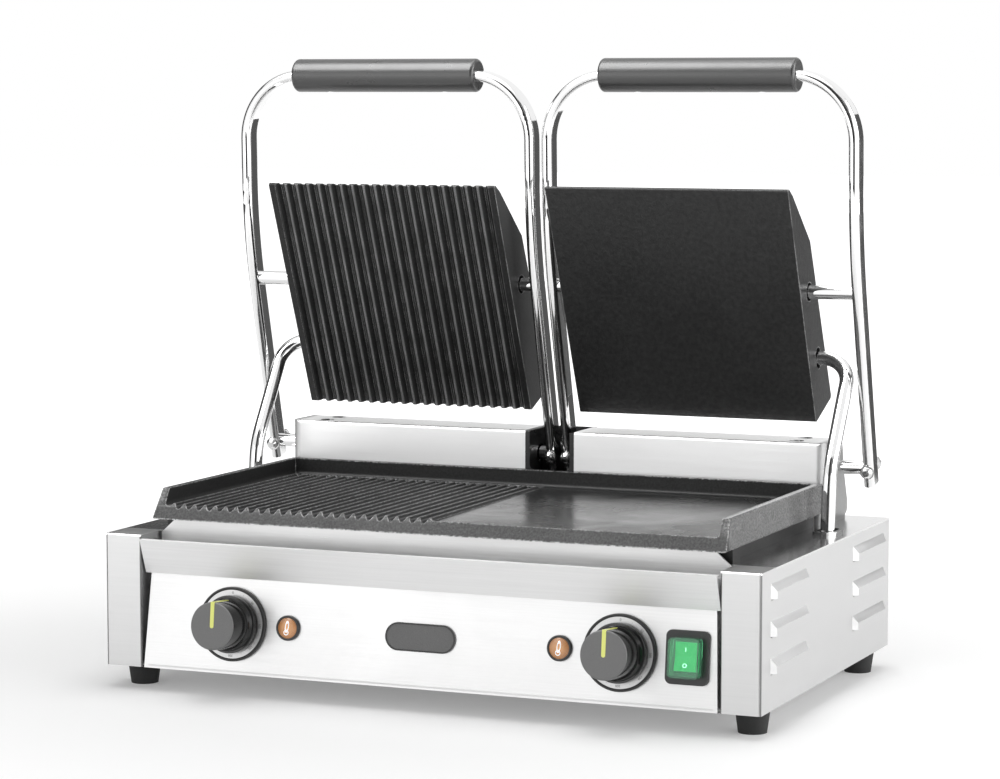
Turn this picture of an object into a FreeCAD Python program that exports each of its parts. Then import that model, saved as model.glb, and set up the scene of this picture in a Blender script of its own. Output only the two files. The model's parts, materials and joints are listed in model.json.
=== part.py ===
import FreeCAD, Part
import math
import os
from FreeCAD import Placement, Rotation, Vector

# Double contact grill (panini press): a stainless cabinet with one cast lower plate and two
# cast upper plates, each hung on a cross rod in its own sprung lid frame.
#
# Layout frame: x runs to the right, y to the rear from the front of the cabinet, z up from the
# floor, all in millimetres.  At the end everything moves along y so that the origin lies under
# the middle of the outline.  "side" is -1 for the left-hand copy of a piece and +1 for the right.

# ---------------------------------------------------------------- driving dimensions
# Cabinet
body_width = 570.0          # over the side panels, without the louvres
body_depth = 345.0          # front of the columns to the rear panel
deck_z = 129.0              # top of the deck
foot_height = 19.0          # underside of the cabinet above the floor
sheet = 1.5                 # stainless sheet
column_width = 33.0         # front columns beside the fascia
flange_width = 20.0         # rear flanges of the side panels and edges of the base pan
panel_gap = 2.0             # gap between the fascia and the columns
pan_gap = 0.4               # base pan to the fascia's side bends
seam_width = 0.7            # groove beside each front corner
seam_inset = 1.1
seam_depth = 0.9
trough_y = 35.0             # rear end of the trough, where the deck begins
trough_tab = 12.0           # fold of the trough panel under the deck
vent_width = 5.0
vent_length = 40.0          # slots of the base pan
vent_pitch = 44.0
vent_count = 9
vent_rows_y = (120.0, 200.0)
rear_vent_length = 60.0
rear_vent_pitch = 76.0
rear_vent_count = 6
rear_vent_rows_z = (70.0, 82.0, 94.0)
rear_screws_z = (38.0, 112.0)
foot_top_radius = 14.0
foot_base_radius = 11.3
foot_x_inset = 17.4
foot_y_inset = 32.2

# Louvres pressed into the side panels
louvre_length = 88.0
louvre_height = 12.0
louvre_rise = 4.0           # how far a louvre stands out
louvre_wall = 1.0
louvre_front_y = 22.0       # front end of the front column of louvres
louvre_rear_gap = 19.0      # rear end of the rear column to the rear of the cabinet
louvre_rows_z = (54.0, 83.0, 112.0)

# Slanted fascia and drip tray
fascia_slant = 6.0          # degrees, leaning back
fascia_top_z = 97.0
fascia_taper = 3.5          # the front narrows by this much at each top corner
fascia_return = 9.0         # depth of its side bends
fascia_foot = 15.0          # depth of its fold over the base pan
fold_inset = 4.0            # folds stop this far short of the fascia's ends
tray_front_drop = 28.5      # height of the tray's sloping front
tray_front_lean = 10.5      # how far its top edge stands forward of its lower edge
tray_front_y = 5.5          # lower edge of the tray front
tray_clear = 0.4            # tray to its shelf and to the trough panel
tray_side_gap = 1.6         # drip tray to the columns
tray_wall_height = 16.0
tray_lip = 6.0              # fold along the top of the tray front

# Controls, placed along the slope of the fascia from its lower edge
control_s = 41.0            # height of every control's centre up the slope
knob_inset = 83.0           # from the columns' inner edges to each control
lamp_inset = 133.5
switch_inset = 27.5
badge_x = -1.0
dial_radius = 30.4
dial_thickness = 3.4
dial_rim = 1.8              # raised rim round the printed dial
dial_recess = 0.6
dial_bore = 7.5
knob_face_radius = 19.4
knob_waist_radius = 19.9
knob_ledge_radius = 21.9    # inner edge of the skirt's step
knob_skirt_radius = 23.6
knob_skirt_height = 4.5
knob_flare_height = 4.0     # hollow sweep above the skirt
knob_flare = 8.0            # its radius
knob_height = 33.0          # skirt to face
knob_gap = 0.8              # knob to dial
knob_edge = 1.4             # rounding of the knob's face
small_edge = 0.6            # rounding of the other edges of the controls
pointer_width = 3.2
pointer_rise = 0.35
spindle_radius = 3.0
spindle_fit = 0.05          # running clearance of every shaft in the grill
spindle_reach = 20.0        # length of a spindle inside its knob
spindle_depth = 12.0        # and inside its thermostat
thermostat_size = 38.0
thermostat_depth = 30.0
thermostat_corner = 2.0
thermostat_neck = 7.0       # radius of the threaded neck through the fascia
neck_short = 1.0            # neck ends this far below the dial's face
lamp_radius = 10.3
lamp_rim = 1.9
lamp_rise = 2.6
lamp_stem_inset = 2.0       # body of a lamp smaller than its rim
lamp_body_length = 22.0
lens_rise = 3.4
lens_crown = 8.0            # rounding of its dome
lens_shoulder = 5.9         # radius where the dome flattens
lens_fall = 0.2             # middle to shoulder
badge_length = 61.0
badge_height = 22.6
badge_thickness = 1.6
badge_rim = 1.2
badge_recess = 0.5
switch_width = 35.0
switch_height = 42.0
switch_rise = 2.6
switch_corner = 5.0
switch_body_width = 30.0
switch_body_height = 36.0
switch_body_depth = 26.0
hood_width = 25.0
hood_height = 31.0
hood_rise = 9.5
hood_wall = 1.4
hood_corner = 3.5
rocker_width = 17.0
rocker_height = 22.5
rocker_rise = 4.2           # rocker's crown over the bezel
rocker_dish = 1.6           # hollow between its two ends
rocker_tilt = 6.0           # degrees either way from level
rocker_keel = 5.0           # half length of its lower edge
rocker_pin_radius = 1.6
rocker_pin = 3.0            # length of a pin end beside the rocker
rocker_pin_n = -3.0         # pin below the fascia's face
rocker_clear = 0.9
rocker_well = 12.0

# Lower plate, and what lies under it
plate_ledge = 36.8          # deck beside the lower plate
plate_flare = 2.3           # side walls spread by this much towards the floor
plate_front_y = 17.0        # lower front edge
plate_rake = 15.0           # wall tops begin this far behind the front edge
plate_back_y = 270.0
plate_floor_under = 11.5    # underside of the floor above the deck
plate_floor = 10.5          # thickness of the smooth half
plate_wall_z = 36.0         # wall tops above the deck
plate_wall = 6.0
plate_back_wall = 6.5
plate_cove = 3.0
plate_edge = 1.5            # rounding of the wall tops
rib_crest = 2.2             # crests above the smooth half
rib_depth = 4.4             # crest to valley
rib_crest_width = 1.2
rib_valley = 2.0
lower_rib_count = 25
lower_rib_inset = 14.2      # outermost crest inside the wall's outer top edge
lower_rib_middle = 1.92     # innermost crest short of the middle
lower_rib_end = 14.0        # ribs stop this far short of the back wall
leg_top = 12.0              # corner legs of the casting, tapering to their feet
leg_foot = 3.0
leg_front = 39.0
leg_length = 18.0
skirt_inset = 5.7           # recessed skirt inside the wall tops
skirt_front = 40.0
skirt_rear = 266.0
skirt_wall = 5.0
window_inset = 20.2         # opening in the deck inside the wall tops
window_front = 54.0
window_rear = 254.0
shield_depth = 16.0
shield_flange = 6.0
trough_gap = 0.5            # trough panel to the plate's underside

# Heaters under the lower plate
element_runs = 4            # straight runs of every heater
element_radius = 4.0
element_first_x = 34.0
element_margin = 38.0       # outermost run to the window's side
element_front = 78.0
element_rear = 228.0
clamp_ys = (110.0, 200.0)
clamp_width = 10.0
clamp_thick = 2.5
clamp_reach = 6.0           # clamps past the outer runs
clamp_post = 36.0           # post of a clamp from its inner end

# Hinges and lids
hinge_y = 303.0
hinge_z = 176.0
axle_radius = 6.0
rod_y = 264.5               # cross rod that carries the upper plate, lids open
rod_z = 326.0
rod_radius = 6.0
arm_inner_x = 8.0           # centre line of a lid's inner arm
arm_inset = 5.0             # outer arm's centre line inside the cabinet's side
bar_thick = 9.0             # flat-oval bar of the lid frame
bar_wide = 20.0
arm_upper_lean = 1.5        # degrees from upright above the knee
knee_radius = 420.0
bail_top_y = 250.0
bail_top_z = 506.0
bail_corner = 55.0
arm_tail = 14.0             # arm below the axle
grip_length = 174.0
grip_radius = 14.4
grip_edge = 3.0
grip_screw_spread = 55.0
grip_screw_length = 22.0
grip_counterbore = 3.0
bolt_radius = 3.0
bolt_head_radius = 5.2
bolt_head_height = 3.6
bolt_head_edge = 1.0
bolt_end = 1.0              # bolt beyond its nut
washer = 1.2
washer_rim = 0.8            # washers over the bolt's head and nut
nut_height = 4.5
nut_radius = 5.4
bearing_thick = 8.0
bearing_inner = 19.2        # bearings from a cover's inner and outer ends
bearing_outer = 22.0
bearing_head = 15.0         # radius of a pedestal round its bush
pedestal_half = 22.0        # half length of its foot
pedestal_foot = 6.0
bush_radius = 9.0
bush_flange = 1.5
bush_flange_rim = 2.0
spring_wire = 4.0
spring_turns = 6
spring_pitch_gap = 0.4
spring_gap = 1.0            # spring's inside over the axle
spring_clear = 0.3          # spring to the bush beside it

# Hinge covers and centre bracket
cover_inner_x = 22.8
cover_overhang = 1.8        # outer end past the lower plate's wall tops
cover_front_y = 272.5
cover_top_z = 198.5
cover_back_y = 319.0
cover_flare = 7.0           # back face leans out by this much down to the flare
cover_mid_z = 168.0         # where the cover's back starts to flare
cover_foot_y = 335.5
cover_knee_z = 144.0
cover_heel_z = 135.0
cover_low_z = 132.0
cover_heel = 6.0            # fold under the flared back
cover_fold = 2.5            # rounding of its bends
cover_sweep = 20.0          # rounding where the back starts to flare
cover_knee = 4.0            # rounding of the flare's foot
cover_corner = 8.0
cover_hole_radius = 6.25
cover_hole_inset = 29.5
cover_holes_y = (285.0, 309.0)
axle_hole_clear = 2.0
bracket_sheet = 2.0
bracket_drop = 1.0          # below the covers' tops
bracket_horn = 4.0          # width left beside its U opening
bracket_corner = 6.0
bracket_back = 26.0         # back of the centre bracket behind the hinge
bracket_lip_z = 163.0
bracket_floor_z = 154.0

# Upper plates
upper_length = 214.0
upper_inner_gap = 15.0      # from the arms' centre lines to the plate
upper_outer_gap = 43.0
upper_face_y = 245.5        # centre of the open plate's cooking face
upper_face_z = 313.2
upper_tilt = 22.7           # degrees that the open face leans from upright
upper_low_back = 46.0       # thickness at the hinge end
upper_high_back = 39.5      # thickness where the back starts to slope
upper_slope_inset = 64.0    # where the back starts to slope, from the handle end
upper_nose_inset = 9.0      # and where the slope ends
upper_nose = 10.0           # thickness at the handle end
upper_lip = 3.0             # and at its very edge
upper_edge = 1.5            # rounding of its cooking face
upper_round = 3.0           # rounding of its back
upper_wall = 5.0
upper_floor = 9.0
upper_rib_count = 20
upper_boss_radius = 11.0
upper_boss_length = 12.0
rod_hole_radius = 8.0
cover_sheet = 1.5
cover_ledge = 2.5           # casting round the edge of its back cover
collar_gap = 0.3
collar_radius = 10.0
collar_width = 8.0
upper_element_radius = 3.2
upper_element_margin = 38.0
upper_element_low = 37.0    # heater's turns from the plate's hinge end
upper_element_high = 67.0   # and from its handle end

# Wire conduits between cabinet and upper plates
conduit_radius = 6.0
conduit_ledge = 15.0        # centre line from the lower plate's foot
conduit_pivot_n = 25.0      # pivot behind the cooking face
conduit_pivot_s = 48.2      # and along it from the plate's hinge end
conduit_top_bend = 24.0
conduit_bend_y = 233.0      # where the lower end turns upright, lids open
conduit_bend_z = 180.0
conduit_low_bend = 60.0
conduit_end_y = 227.8
conduit_end_z = 114.0
conduit_inset = 9.0         # length inside the plate's wall
conduit_slot_width = 13.4
conduit_slot_length = 19.0

# Deck grommets round the conduits
grommet_y = 230.5
grommet_length = 36.0
grommet_width = 21.0
grommet_hole_length = 27.0
grommet_hole_width = 15.0
grommet_lip = 3.0
grommet_neck = 1.5          # wall of the neck in the deck slot
grommet_depth = 2.0         # neck below the deck

# Fasteners and wiring
screw_radius = 2.0
screw_head_radius = 4.0
screw_head_height = 2.2
screw_reach = 4.0           # screws past the sheets that they hold
foot_screw_room = 1.0       # counterbore of a foot over its screw's head
gland_radius = 9.0
gland_length = 16.0
gland_inside = 12.0         # thread behind the rear panel
gland_flange = 5.0
gland_flange_rim = 3.0
gland_cap_rim = 1.5
gland_nut = 4.0
gland_bore = 5.5
gland_x = 170.0
gland_z = 52.0
terminal_x = 110.0
terminal_y = 270.0
terminal_width = 22.0
terminal_height = 20.0
terminal_ways = 5
terminal_pitch = 12.0
terminal_way_radius = 3.0
terminal_way_depth = 6.0

# ---------------------------------------------------------------- helpers
X_AXIS, Y_AXIS, Z_AXIS = Vector(1, 0, 0), Vector(0, 1, 0), Vector(0, 0, 1)
PLANES = {
    "xy": (lambda u, v: Vector(u, v, 0), Z_AXIS),
    "xz": (lambda u, v: Vector(u, 0, v), Y_AXIS),
    "yz": (lambda u, v: Vector(0, u, v), X_AXIS),
}
SIDES = (("left", -1), ("right", 1))


def box(x0, x1, y0, y1, z0, z1):
    """Block between two corners."""
    return Part.makeBox(x1 - x0, y1 - y0, z1 - z0, Vector(x0, y0, z0))


def rod(radius, start, end):
    """Round bar between two points."""
    return Part.makeCylinder(radius, (end - start).Length, start, end - start)


def closed_wire(points, lay):
    """Closed wire through points (u, v) or (u, v, r), where r rounds that corner."""
    flat = [Vector(p[0], p[1], 0) for p in points]
    starts, ends, arcs = [], [], []
    for index, here in enumerate(flat):
        radius = points[index][2] if len(points[index]) > 2 else 0
        before = (flat[index - 1] - here).normalize()
        after = (flat[(index + 1) % len(flat)] - here).normalize()
        if not radius:
            starts.append(here)
            ends.append(here)
            arcs.append(None)
            continue
        half = before.getAngle(after) / 2
        centre = here + (before + after).normalize() * (radius / math.sin(half))
        middle = centre + (here - centre).normalize() * radius
        starts.append(here + before * (radius / math.tan(half)))
        ends.append(here + after * (radius / math.tan(half)))
        arcs.append(middle)
    edges = []
    for index in range(len(flat)):
        following = (index + 1) % len(flat)
        if arcs[index]:
            corner = [lay(p.x, p.y) for p in (starts[index], arcs[index], ends[index])]
            edges.append(Part.Arc(*corner).toShape())
        if (starts[following] - ends[index]).Length > 1e-6:
            run = [lay(p.x, p.y) for p in (ends[index], starts[following])]
            edges.append(Part.LineSegment(*run).toShape())
    return Part.Wire(edges)


def prism(points, plane, low, high):
    """Solid of a closed outline in a plane, from low to high along the plane's normal."""
    lay, normal = PLANES[plane]
    face = Part.Face(closed_wire(points, lay))
    solid = face.extrude(normal * (high - low))
    solid.translate(normal * low)
    return solid


def turned(points):
    """Solid of revolution about z from (radius, height) points, closed along the axis."""
    face = Part.Face(closed_wire(points, PLANES["xz"][0]))
    return face.revolve(Vector(0, 0, 0), Z_AXIS, 360)


def rectangle(width, height, corner=0.0, at=(0.0, 0.0)):
    """Outline points of a rectangle with rounded corners."""
    u, v = width / 2, height / 2
    corners = ((-u, -v), (u, -v), (u, v), (-u, v))
    return [(at[0] + a, at[1] + b, corner) for a, b in corners]


def stadium(width, height, at=(0.0, 0.0)):
    """Outline points of an oblong with round ends."""
    return rectangle(width, height, min(width, height) / 2, at)


def mirrored(shape):
    """Left-hand copy of a right-hand piece."""
    return shape.mirror(Vector(0, 0, 0), X_AXIS)


def sided(shape, side):
    """The right-hand piece, or its mirror image for side -1."""
    return shape if side > 0 else mirrored(shape)


def moved(shape, x=0.0, y=0.0, z=0.0):
    """Copy of a shape, shifted."""
    copy = shape.copy()
    copy.translate(Vector(x, y, z))
    return copy


def group(shapes):
    """Separate solids kept together as one node."""
    return Part.makeCompound([solid for shape in shapes for solid in shape.Solids])


def pan_screw(seat, axis, length):
    """Screw with its head's underside at its seat and its shank along the axis."""
    head = Part.makeCylinder(screw_head_radius, screw_head_height, seat, axis * -1)
    return head.fuse(Part.makeCylinder(screw_radius, length, seat, axis))


class Bar:
    """Bar or tube bent from straight runs and tangent bends, with one section throughout."""

    def __init__(self, section, at, along, wide):
        across = wide.cross(along)
        matrix = FreeCAD.Matrix(
            across.x, wide.x, along.x, at.x,
            across.y, wide.y, along.y, at.y,
            across.z, wide.z, along.z, at.z,
            0, 0, 0, 1)
        self.end = section.copy()
        self.end.Placement = Placement(matrix)
        self.at, self.along = at, along
        self.pieces = []

    def run(self, length):
        """Straight length."""
        self.pieces.append(self.end.extrude(self.along * length))
        self.end.translate(self.along * length)
        self.at = self.at + self.along * length
        return self

    def run_to(self, point):
        """Straight length as far as a point ahead."""
        return self.run((point - self.at).dot(self.along))

    def bend(self, axis, degrees, radius):
        """Bend about an axis at right angles to the bar, right-handed for positive angles."""
        towards = axis.cross(self.along) * math.copysign(1, degrees)
        centre = self.at + towards * radius
        turn_axis = axis * math.copysign(1, degrees)
        self.pieces.append(self.end.revolve(centre, turn_axis, abs(degrees)))
        self.end.rotate(centre, turn_axis, abs(degrees))
        rotation = Rotation(turn_axis, abs(degrees))
        self.at = centre + rotation.multVec(self.at - centre)
        self.along = rotation.multVec(self.along)
        return self

    def solid(self):
        """The whole bar as one solid."""
        return self.pieces[0].multiFuse(self.pieces[1:]).removeSplitter()


def round_section(radius):
    """Disc across a round bar."""
    return Part.Face(Part.Wire(Part.makeCircle(radius)))


# ---------------------------------------------------------------- places worked out from the sizes
beyond = body_width                         # longer than anything that it cuts through
half_body = body_width / 2
inner_x = half_body - sheet                 # inside of the side panels
column_x = half_body - column_width         # inner edge of the front columns
slant = math.radians(fascia_slant)
fascia_height = (fascia_top_z - foot_height) / math.cos(slant)
fascia_top_y = (fascia_top_z - foot_height) * math.tan(slant)
rear_face_y = body_depth - sheet            # outer face of the rear panel
deck_under_z = deck_z - sheet
knob_x = column_x - knob_inset
lamp_x = column_x - lamp_inset
switch_x = column_x - switch_inset

plate_half_top = half_body - plate_ledge    # half width over the tops of the side walls
plate_half_low = plate_half_top + plate_flare
plate_under_z = deck_z + plate_floor_under
plate_flat_z = plate_under_z + plate_floor
plate_top_z = deck_z + plate_wall_z
plate_back = plate_back_y - plate_back_wall
crest_z = plate_flat_z + rib_crest
rib_rear = plate_back - lower_rib_end
lower_rib_first = plate_half_top - lower_rib_inset
lower_rib_pitch = (lower_rib_first - lower_rib_middle) / (lower_rib_count - 1)
skirt_half = plate_half_top - skirt_inset
window_half = plate_half_top - window_inset
element_span = window_half - element_margin - element_first_x
element_pitch = element_span / (element_runs - 1)

hinge = Vector(0, hinge_y, hinge_z)
cross_rod = Vector(0, rod_y, rod_z)
arm_outer_x = half_body - arm_inset
arm_middle_x = (arm_inner_x + arm_outer_x) / 2
arm_rise = (cross_rod - hinge).normalize()  # direction up the lower run of an arm
arm_lean = math.degrees(math.atan2(-arm_rise.y, arm_rise.z))
cover_outer_x = plate_half_top + cover_overhang
bearing_xs = (cover_inner_x + bearing_inner, cover_outer_x - bearing_outer)

tilt = math.radians(upper_tilt)
upper_width = arm_outer_x - arm_inner_x - upper_inner_gap - upper_outer_gap
upper_x = arm_inner_x + upper_inner_gap + upper_width / 2
upper_half = upper_length / 2
upper_slope_start = upper_half - upper_slope_inset
upper_slope_end = upper_half - upper_nose_inset
conduit_along = conduit_pivot_s - upper_half
upper_rib_pitch = upper_width / upper_rib_count
upper_element_span = upper_width - 2 * upper_element_margin
upper_element_pitch = upper_element_span / (element_runs - 1)
conduit_x = plate_half_low + conduit_ledge
grommet_slot_length = grommet_hole_length + 2 * grommet_neck
grommet_slot_width = grommet_hole_width + 2 * grommet_neck

knob_front = knob_gap + dial_thickness + knob_height
front_y = (control_s - knob_face_radius) * math.sin(slant) - knob_front * math.cos(slant)
rear_y = rear_face_y + gland_length
middle_y = (front_y + rear_y) / 2


def on_fascia(shape, x=0.0, s=0.0, n=0.0):
    """Place a shape drawn with x across, y up the fascia's slope and z outwards from it."""
    placed = shape.copy()
    placed.translate(Vector(x, s, n))
    placed.rotate(Vector(0, 0, 0), X_AXIS, 90 - fascia_slant)
    placed.translate(Vector(0, 0, foot_height))
    return placed


def on_upper_plate(shape, side):
    """Place a shape drawn with its cooking face at y = 0 and its handle end up."""
    placed = shape.copy()
    placed.rotate(Vector(0, 0, 0), X_AXIS, upper_tilt)
    placed.translate(Vector(side * upper_x, upper_face_y, upper_face_z))
    return placed


def upper_local(y, z):
    """Depth behind the cooking face and height along it, for a point beside the open plate."""
    dy, dz = y - upper_face_y, z - upper_face_z
    depth = dy * math.cos(tilt) + dz * math.sin(tilt)
    return depth, -dy * math.sin(tilt) + dz * math.cos(tilt)


def upper_world(depth, along):
    """Layout y and z of a point given behind and along the open plate."""
    y = upper_face_y + depth * math.cos(tilt) - along * math.sin(tilt)
    return y, upper_face_z + depth * math.sin(tilt) + along * math.cos(tilt)


conduit_pivot = Vector(0, *upper_world(conduit_pivot_n, conduit_along))


# ---------------------------------------------------------------- cabinet
def base_pan():
    """Bottom pan with its turned-up edges and ventilation slots."""
    front = fascia_return / math.cos(slant) + pan_gap
    rear = rear_face_y - sheet
    pan = box(-inner_x, inner_x, front, rear, foot_height, foot_height + sheet)
    edge = box(inner_x - sheet, inner_x, front, rear, foot_height, foot_height + flange_width)
    pan = pan.fuse([edge, mirrored(edge)])
    cuts = []
    for row_y in vent_rows_y:
        for step in range(vent_count):
            x = (step - (vent_count - 1) / 2) * vent_pitch
            slot = stadium(vent_width, vent_length, (x, row_y))
            cuts.append(prism(slot, "xy", 0, deck_z))
    cuts += [Part.makeCylinder(screw_radius, deck_z, Vector(x, y, 0)) for x, y in foot_places()]
    return pan.cut(cuts)


def foot_places():
    """Centres of the four feet."""
    xs = (-half_body + foot_x_inset, half_body - foot_x_inset)
    return [(x, y) for x in xs for y in (foot_y_inset, body_depth - foot_y_inset)]


def rubber_feet():
    """Tapered feet, drilled for their screws."""
    foot = Part.makeCone(foot_base_radius, foot_top_radius, foot_height)
    foot = foot.cut(Part.makeCylinder(screw_radius, foot_height))
    foot = foot.cut(Part.makeCylinder(screw_head_radius + foot_screw_room, foot_height / 2))
    return group([moved(foot, x, y) for x, y in foot_places()])


def louvre(y, z, cutter):
    """Hood pressed out of the right side panel, or the space behind it."""
    wall = louvre_wall if cutter else 0.0
    x_in = half_body - (2 * sheet if cutter else sheet / 2)
    out = half_body + louvre_rise - wall
    low = z - louvre_height / 2 - wall
    high = z + louvre_height / 2 - wall
    hood = prism([(x_in, low), (out, low), (out, z - wall), (half_body, high), (x_in, high)],
                 "xz", y, y + louvre_length)
    start, end = y + wall, y + louvre_length - wall
    plan = [(x_in, start), (half_body, start), (out, start + louvre_rise),
            (out, end - louvre_rise), (half_body, end), (x_in, end)]
    return hood.common(prism(plan, "xy", 0, deck_z))


def side_panel(side):
    """Side with its front column and deck corner, inner return, rear flange and six louvres."""
    t = sheet
    plan = [(column_x, trough_y), (column_x, 0, t), (half_body, 0, t), (half_body, body_depth, t),
            (half_body - flange_width, body_depth), (half_body - flange_width, body_depth - t),
            (inner_x, body_depth - t), (inner_x, t), (column_x + t, t), (column_x + t, trough_y)]
    panel = prism(plan, "xy", foot_height, deck_under_z)
    panel = panel.cut(box(column_x, inner_x, t, trough_y, foot_height, foot_height + t))
    top = prism([(0, deck_under_z), (0, deck_z, t), (trough_y, deck_z), (trough_y, deck_under_z)],
                "yz", column_x, half_body)
    seam_x = half_body - seam_inset
    panel = panel.fuse(top)
    panel = panel.cut(box(seam_x - seam_width, seam_x, 0, seam_depth, foot_height, deck_z))
    rear_start = body_depth - louvre_rear_gap - louvre_length
    places = [(y, z) for y in (louvre_front_y, rear_start) for z in louvre_rows_z]
    panel = panel.multiFuse([louvre(y, z, False) for y, z in places])
    panel = panel.cut([louvre(y, z, True) for y, z in places])
    panel = panel.cut(rear_screw_holes())
    return sided(panel.removeSplitter(), side)


def rear_screw_places():
    """Screws that hold the rear panel to the side panels' flanges."""
    x = half_body - flange_width / 2 - sheet / 2
    return [(side * x, z) for side in (-1, 1) for z in rear_screws_z]


def rear_screw_holes():
    """Holes for those screws, through the rear panel and the flanges."""
    return [rod(screw_radius, Vector(x, body_depth / 2, z), Vector(x, 2 * body_depth, z))
            for x, z in rear_screw_places()]


def rear_panel():
    """Rear panel with its ventilation slots and the hole for the cable gland."""
    panel = box(-inner_x, inner_x, rear_face_y - sheet, rear_face_y,
                foot_height + sheet, deck_under_z)
    cuts = rear_screw_holes()
    for z in rear_vent_rows_z:
        for step in range(rear_vent_count):
            x = (step - (rear_vent_count - 1) / 2) * rear_vent_pitch
            vent = stadium(rear_vent_length, vent_width, (x, z))
            cuts.append(prism(vent, "xz", body_depth / 2, 2 * body_depth))
    cuts.append(rod(gland_radius, Vector(gland_x, 0, gland_z), Vector(gland_x, beyond, gland_z)))
    return panel.cut(cuts)


def case_screws():
    """Screws of the feet and the rear panel."""
    seat = foot_height / 2
    screws = [pan_screw(Vector(x, y, seat), Z_AXIS, seat + sheet + screw_reach)
              for x, y in foot_places()]
    screws += [pan_screw(Vector(x, body_depth, z), Y_AXIS * -1, 2 * sheet + screw_reach)
               for x, z in rear_screw_places()]
    return group(screws)


def fascia_panel():
    """Slanted front sheet with side bends, openings for the controls and the tray's shelf."""
    t = sheet
    half = column_x - panel_gap
    top_half = half - fascia_taper
    front = [(-half, 0), (half, 0), (top_half, fascia_height), (-top_half, fascia_height)]
    skin = prism(front, "xy", -t, 0)
    bend = fascia_bend(half)
    body = rectangle(switch_body_width, switch_body_height, 0, (switch_x, control_s))
    cuts = [prism(body, "xy", -beyond, beyond)]
    for side in (-1, 1):
        for radius, x in ((thermostat_neck, knob_x), (lamp_radius - lamp_stem_inset, lamp_x)):
            cuts.append(rod(radius, Vector(side * x, control_s, -beyond),
                            Vector(side * x, control_s, beyond)))
    skin = on_fascia(skin.fuse([bend, mirrored(bend)]).cut(cuts))
    end = half - fold_inset
    shelf = box(-end, end, fascia_top_y, trough_y - 2 * t, fascia_top_z - t, fascia_top_z)
    foot = box(-end, end, t * math.tan(slant), fascia_foot, foot_height + t, foot_height + 2 * t)
    return skin.fuse([shelf, foot]).removeSplitter()


def fascia_bend(half):
    """Side bend of the fascia: a return that leans outwards towards its top."""
    t = sheet
    depth = fascia_return
    inner = [Vector(half, 0, 0), Vector(half - fascia_taper, fascia_height, 0)]
    outer = [Vector(half, 0, -depth), Vector(half, fascia_height, -depth)]
    low = [Vector(half, 0, 0), Vector(half - t, 0, 0), Vector(half - t, 0, -depth), outer[0]]
    high = [inner[1], inner[1] - Vector(t, 0, 0), outer[1] - Vector(t, 0, 0), outer[1]]
    return Part.makeLoft([Part.makePolygon(low + [low[0]]), Part.makePolygon(high + [high[0]])],
                         True, True)


def deck_plate():
    """Top sheet behind the trough, with the window under the plate and the conduit slots."""
    deck = box(-half_body, half_body, trough_y, body_depth, deck_under_z, deck_z)
    cuts = [box(-window_half, window_half, window_front, window_rear, 0, beyond)]
    for side in (-1, 1):
        slot = stadium(grommet_slot_width, grommet_slot_length, (side * conduit_x, grommet_y))
        cuts.append(prism(slot, "xy", 0, beyond))
    return deck.cut(cuts)


def trough_panel():
    """Back of the drip tray's recess, closing the space under the plate's front."""
    half = column_x - panel_gap
    top = plate_under_z - trough_gap
    low = fascia_top_z - sheet
    leg_side = plate_half_top - leg_top
    face = [(-half, low), (half, low), (half, deck_under_z), (leg_side, top), (-leg_side, top),
            (-half, deck_under_z)]
    panel = prism(face, "xz", trough_y - 2 * sheet, trough_y - sheet)
    tab = box(-half, half, trough_y - 2 * sheet, trough_y + trough_tab,
              deck_under_z - sheet, deck_under_z)
    return panel.fuse(tab).removeSplitter()


def drip_tray():
    """Open trough with a tall sloping front that is also its pull."""
    t = sheet
    half = column_x - tray_side_gap
    low = fascia_top_z + tray_clear
    top = low + tray_front_drop
    rim_y = tray_front_y - tray_front_lean
    rear = trough_y - 2 * t - tray_clear
    wall = low + tray_wall_height
    outer = [(tray_front_y, low), (rim_y, top), (rim_y + tray_lip, top),
             (rim_y + tray_lip, top - t), (rim_y + 2 * t, top - t),
             (tray_front_y + t, low + t), (rear - t, low + t), (rear - t, wall),
             (rear, wall), (rear, low)]
    tray = prism(outer, "yz", -half, half)
    end = [(tray_front_y, low), (rim_y + t, top - t), (rear, wall), (rear, low)]
    return tray.fuse([prism(end, "yz", half - t, half), prism(end, "yz", -half, t - half)])


# ---------------------------------------------------------------- lower plate and its heating
def lower_plate():
    """Cast plate: ribbed on the left, smooth on the right, open in front between its walls."""
    edge = plate_edge
    section = [(-plate_half_low, plate_under_z, edge), (plate_half_low, plate_under_z, edge),
               (plate_half_top, plate_top_z, edge), (-plate_half_top, plate_top_z, edge)]
    profile = [(plate_front_y, plate_under_z), (plate_front_y + plate_rake, plate_top_z),
               (plate_back_y, plate_top_z, edge), (plate_back_y, plate_under_z)]
    plate = prism(section, "xz", plate_front_y, plate_back_y)
    plate = plate.common(prism(profile, "yz", -plate_half_low, plate_half_low))
    pocket_half = plate_half_top - plate_wall
    over = plate_top_z + plate_wall
    across = [(-pocket_half, plate_flat_z, plate_cove), (pocket_half, plate_flat_z, plate_cove),
              (pocket_half, over), (-pocket_half, over)]
    along = [(0, plate_flat_z), (plate_back, plate_flat_z, plate_cove), (plate_back, over), (0, over)]
    pocket = prism(across, "xz", 0, plate_back)
    pocket = pocket.common(prism(along, "yz", -pocket_half, pocket_half))
    plate = plate.cut(pocket)
    return plate.multiFuse(plate_feet() + [rib_bed()]).cut(rib_grooves()).removeSplitter()


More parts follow.
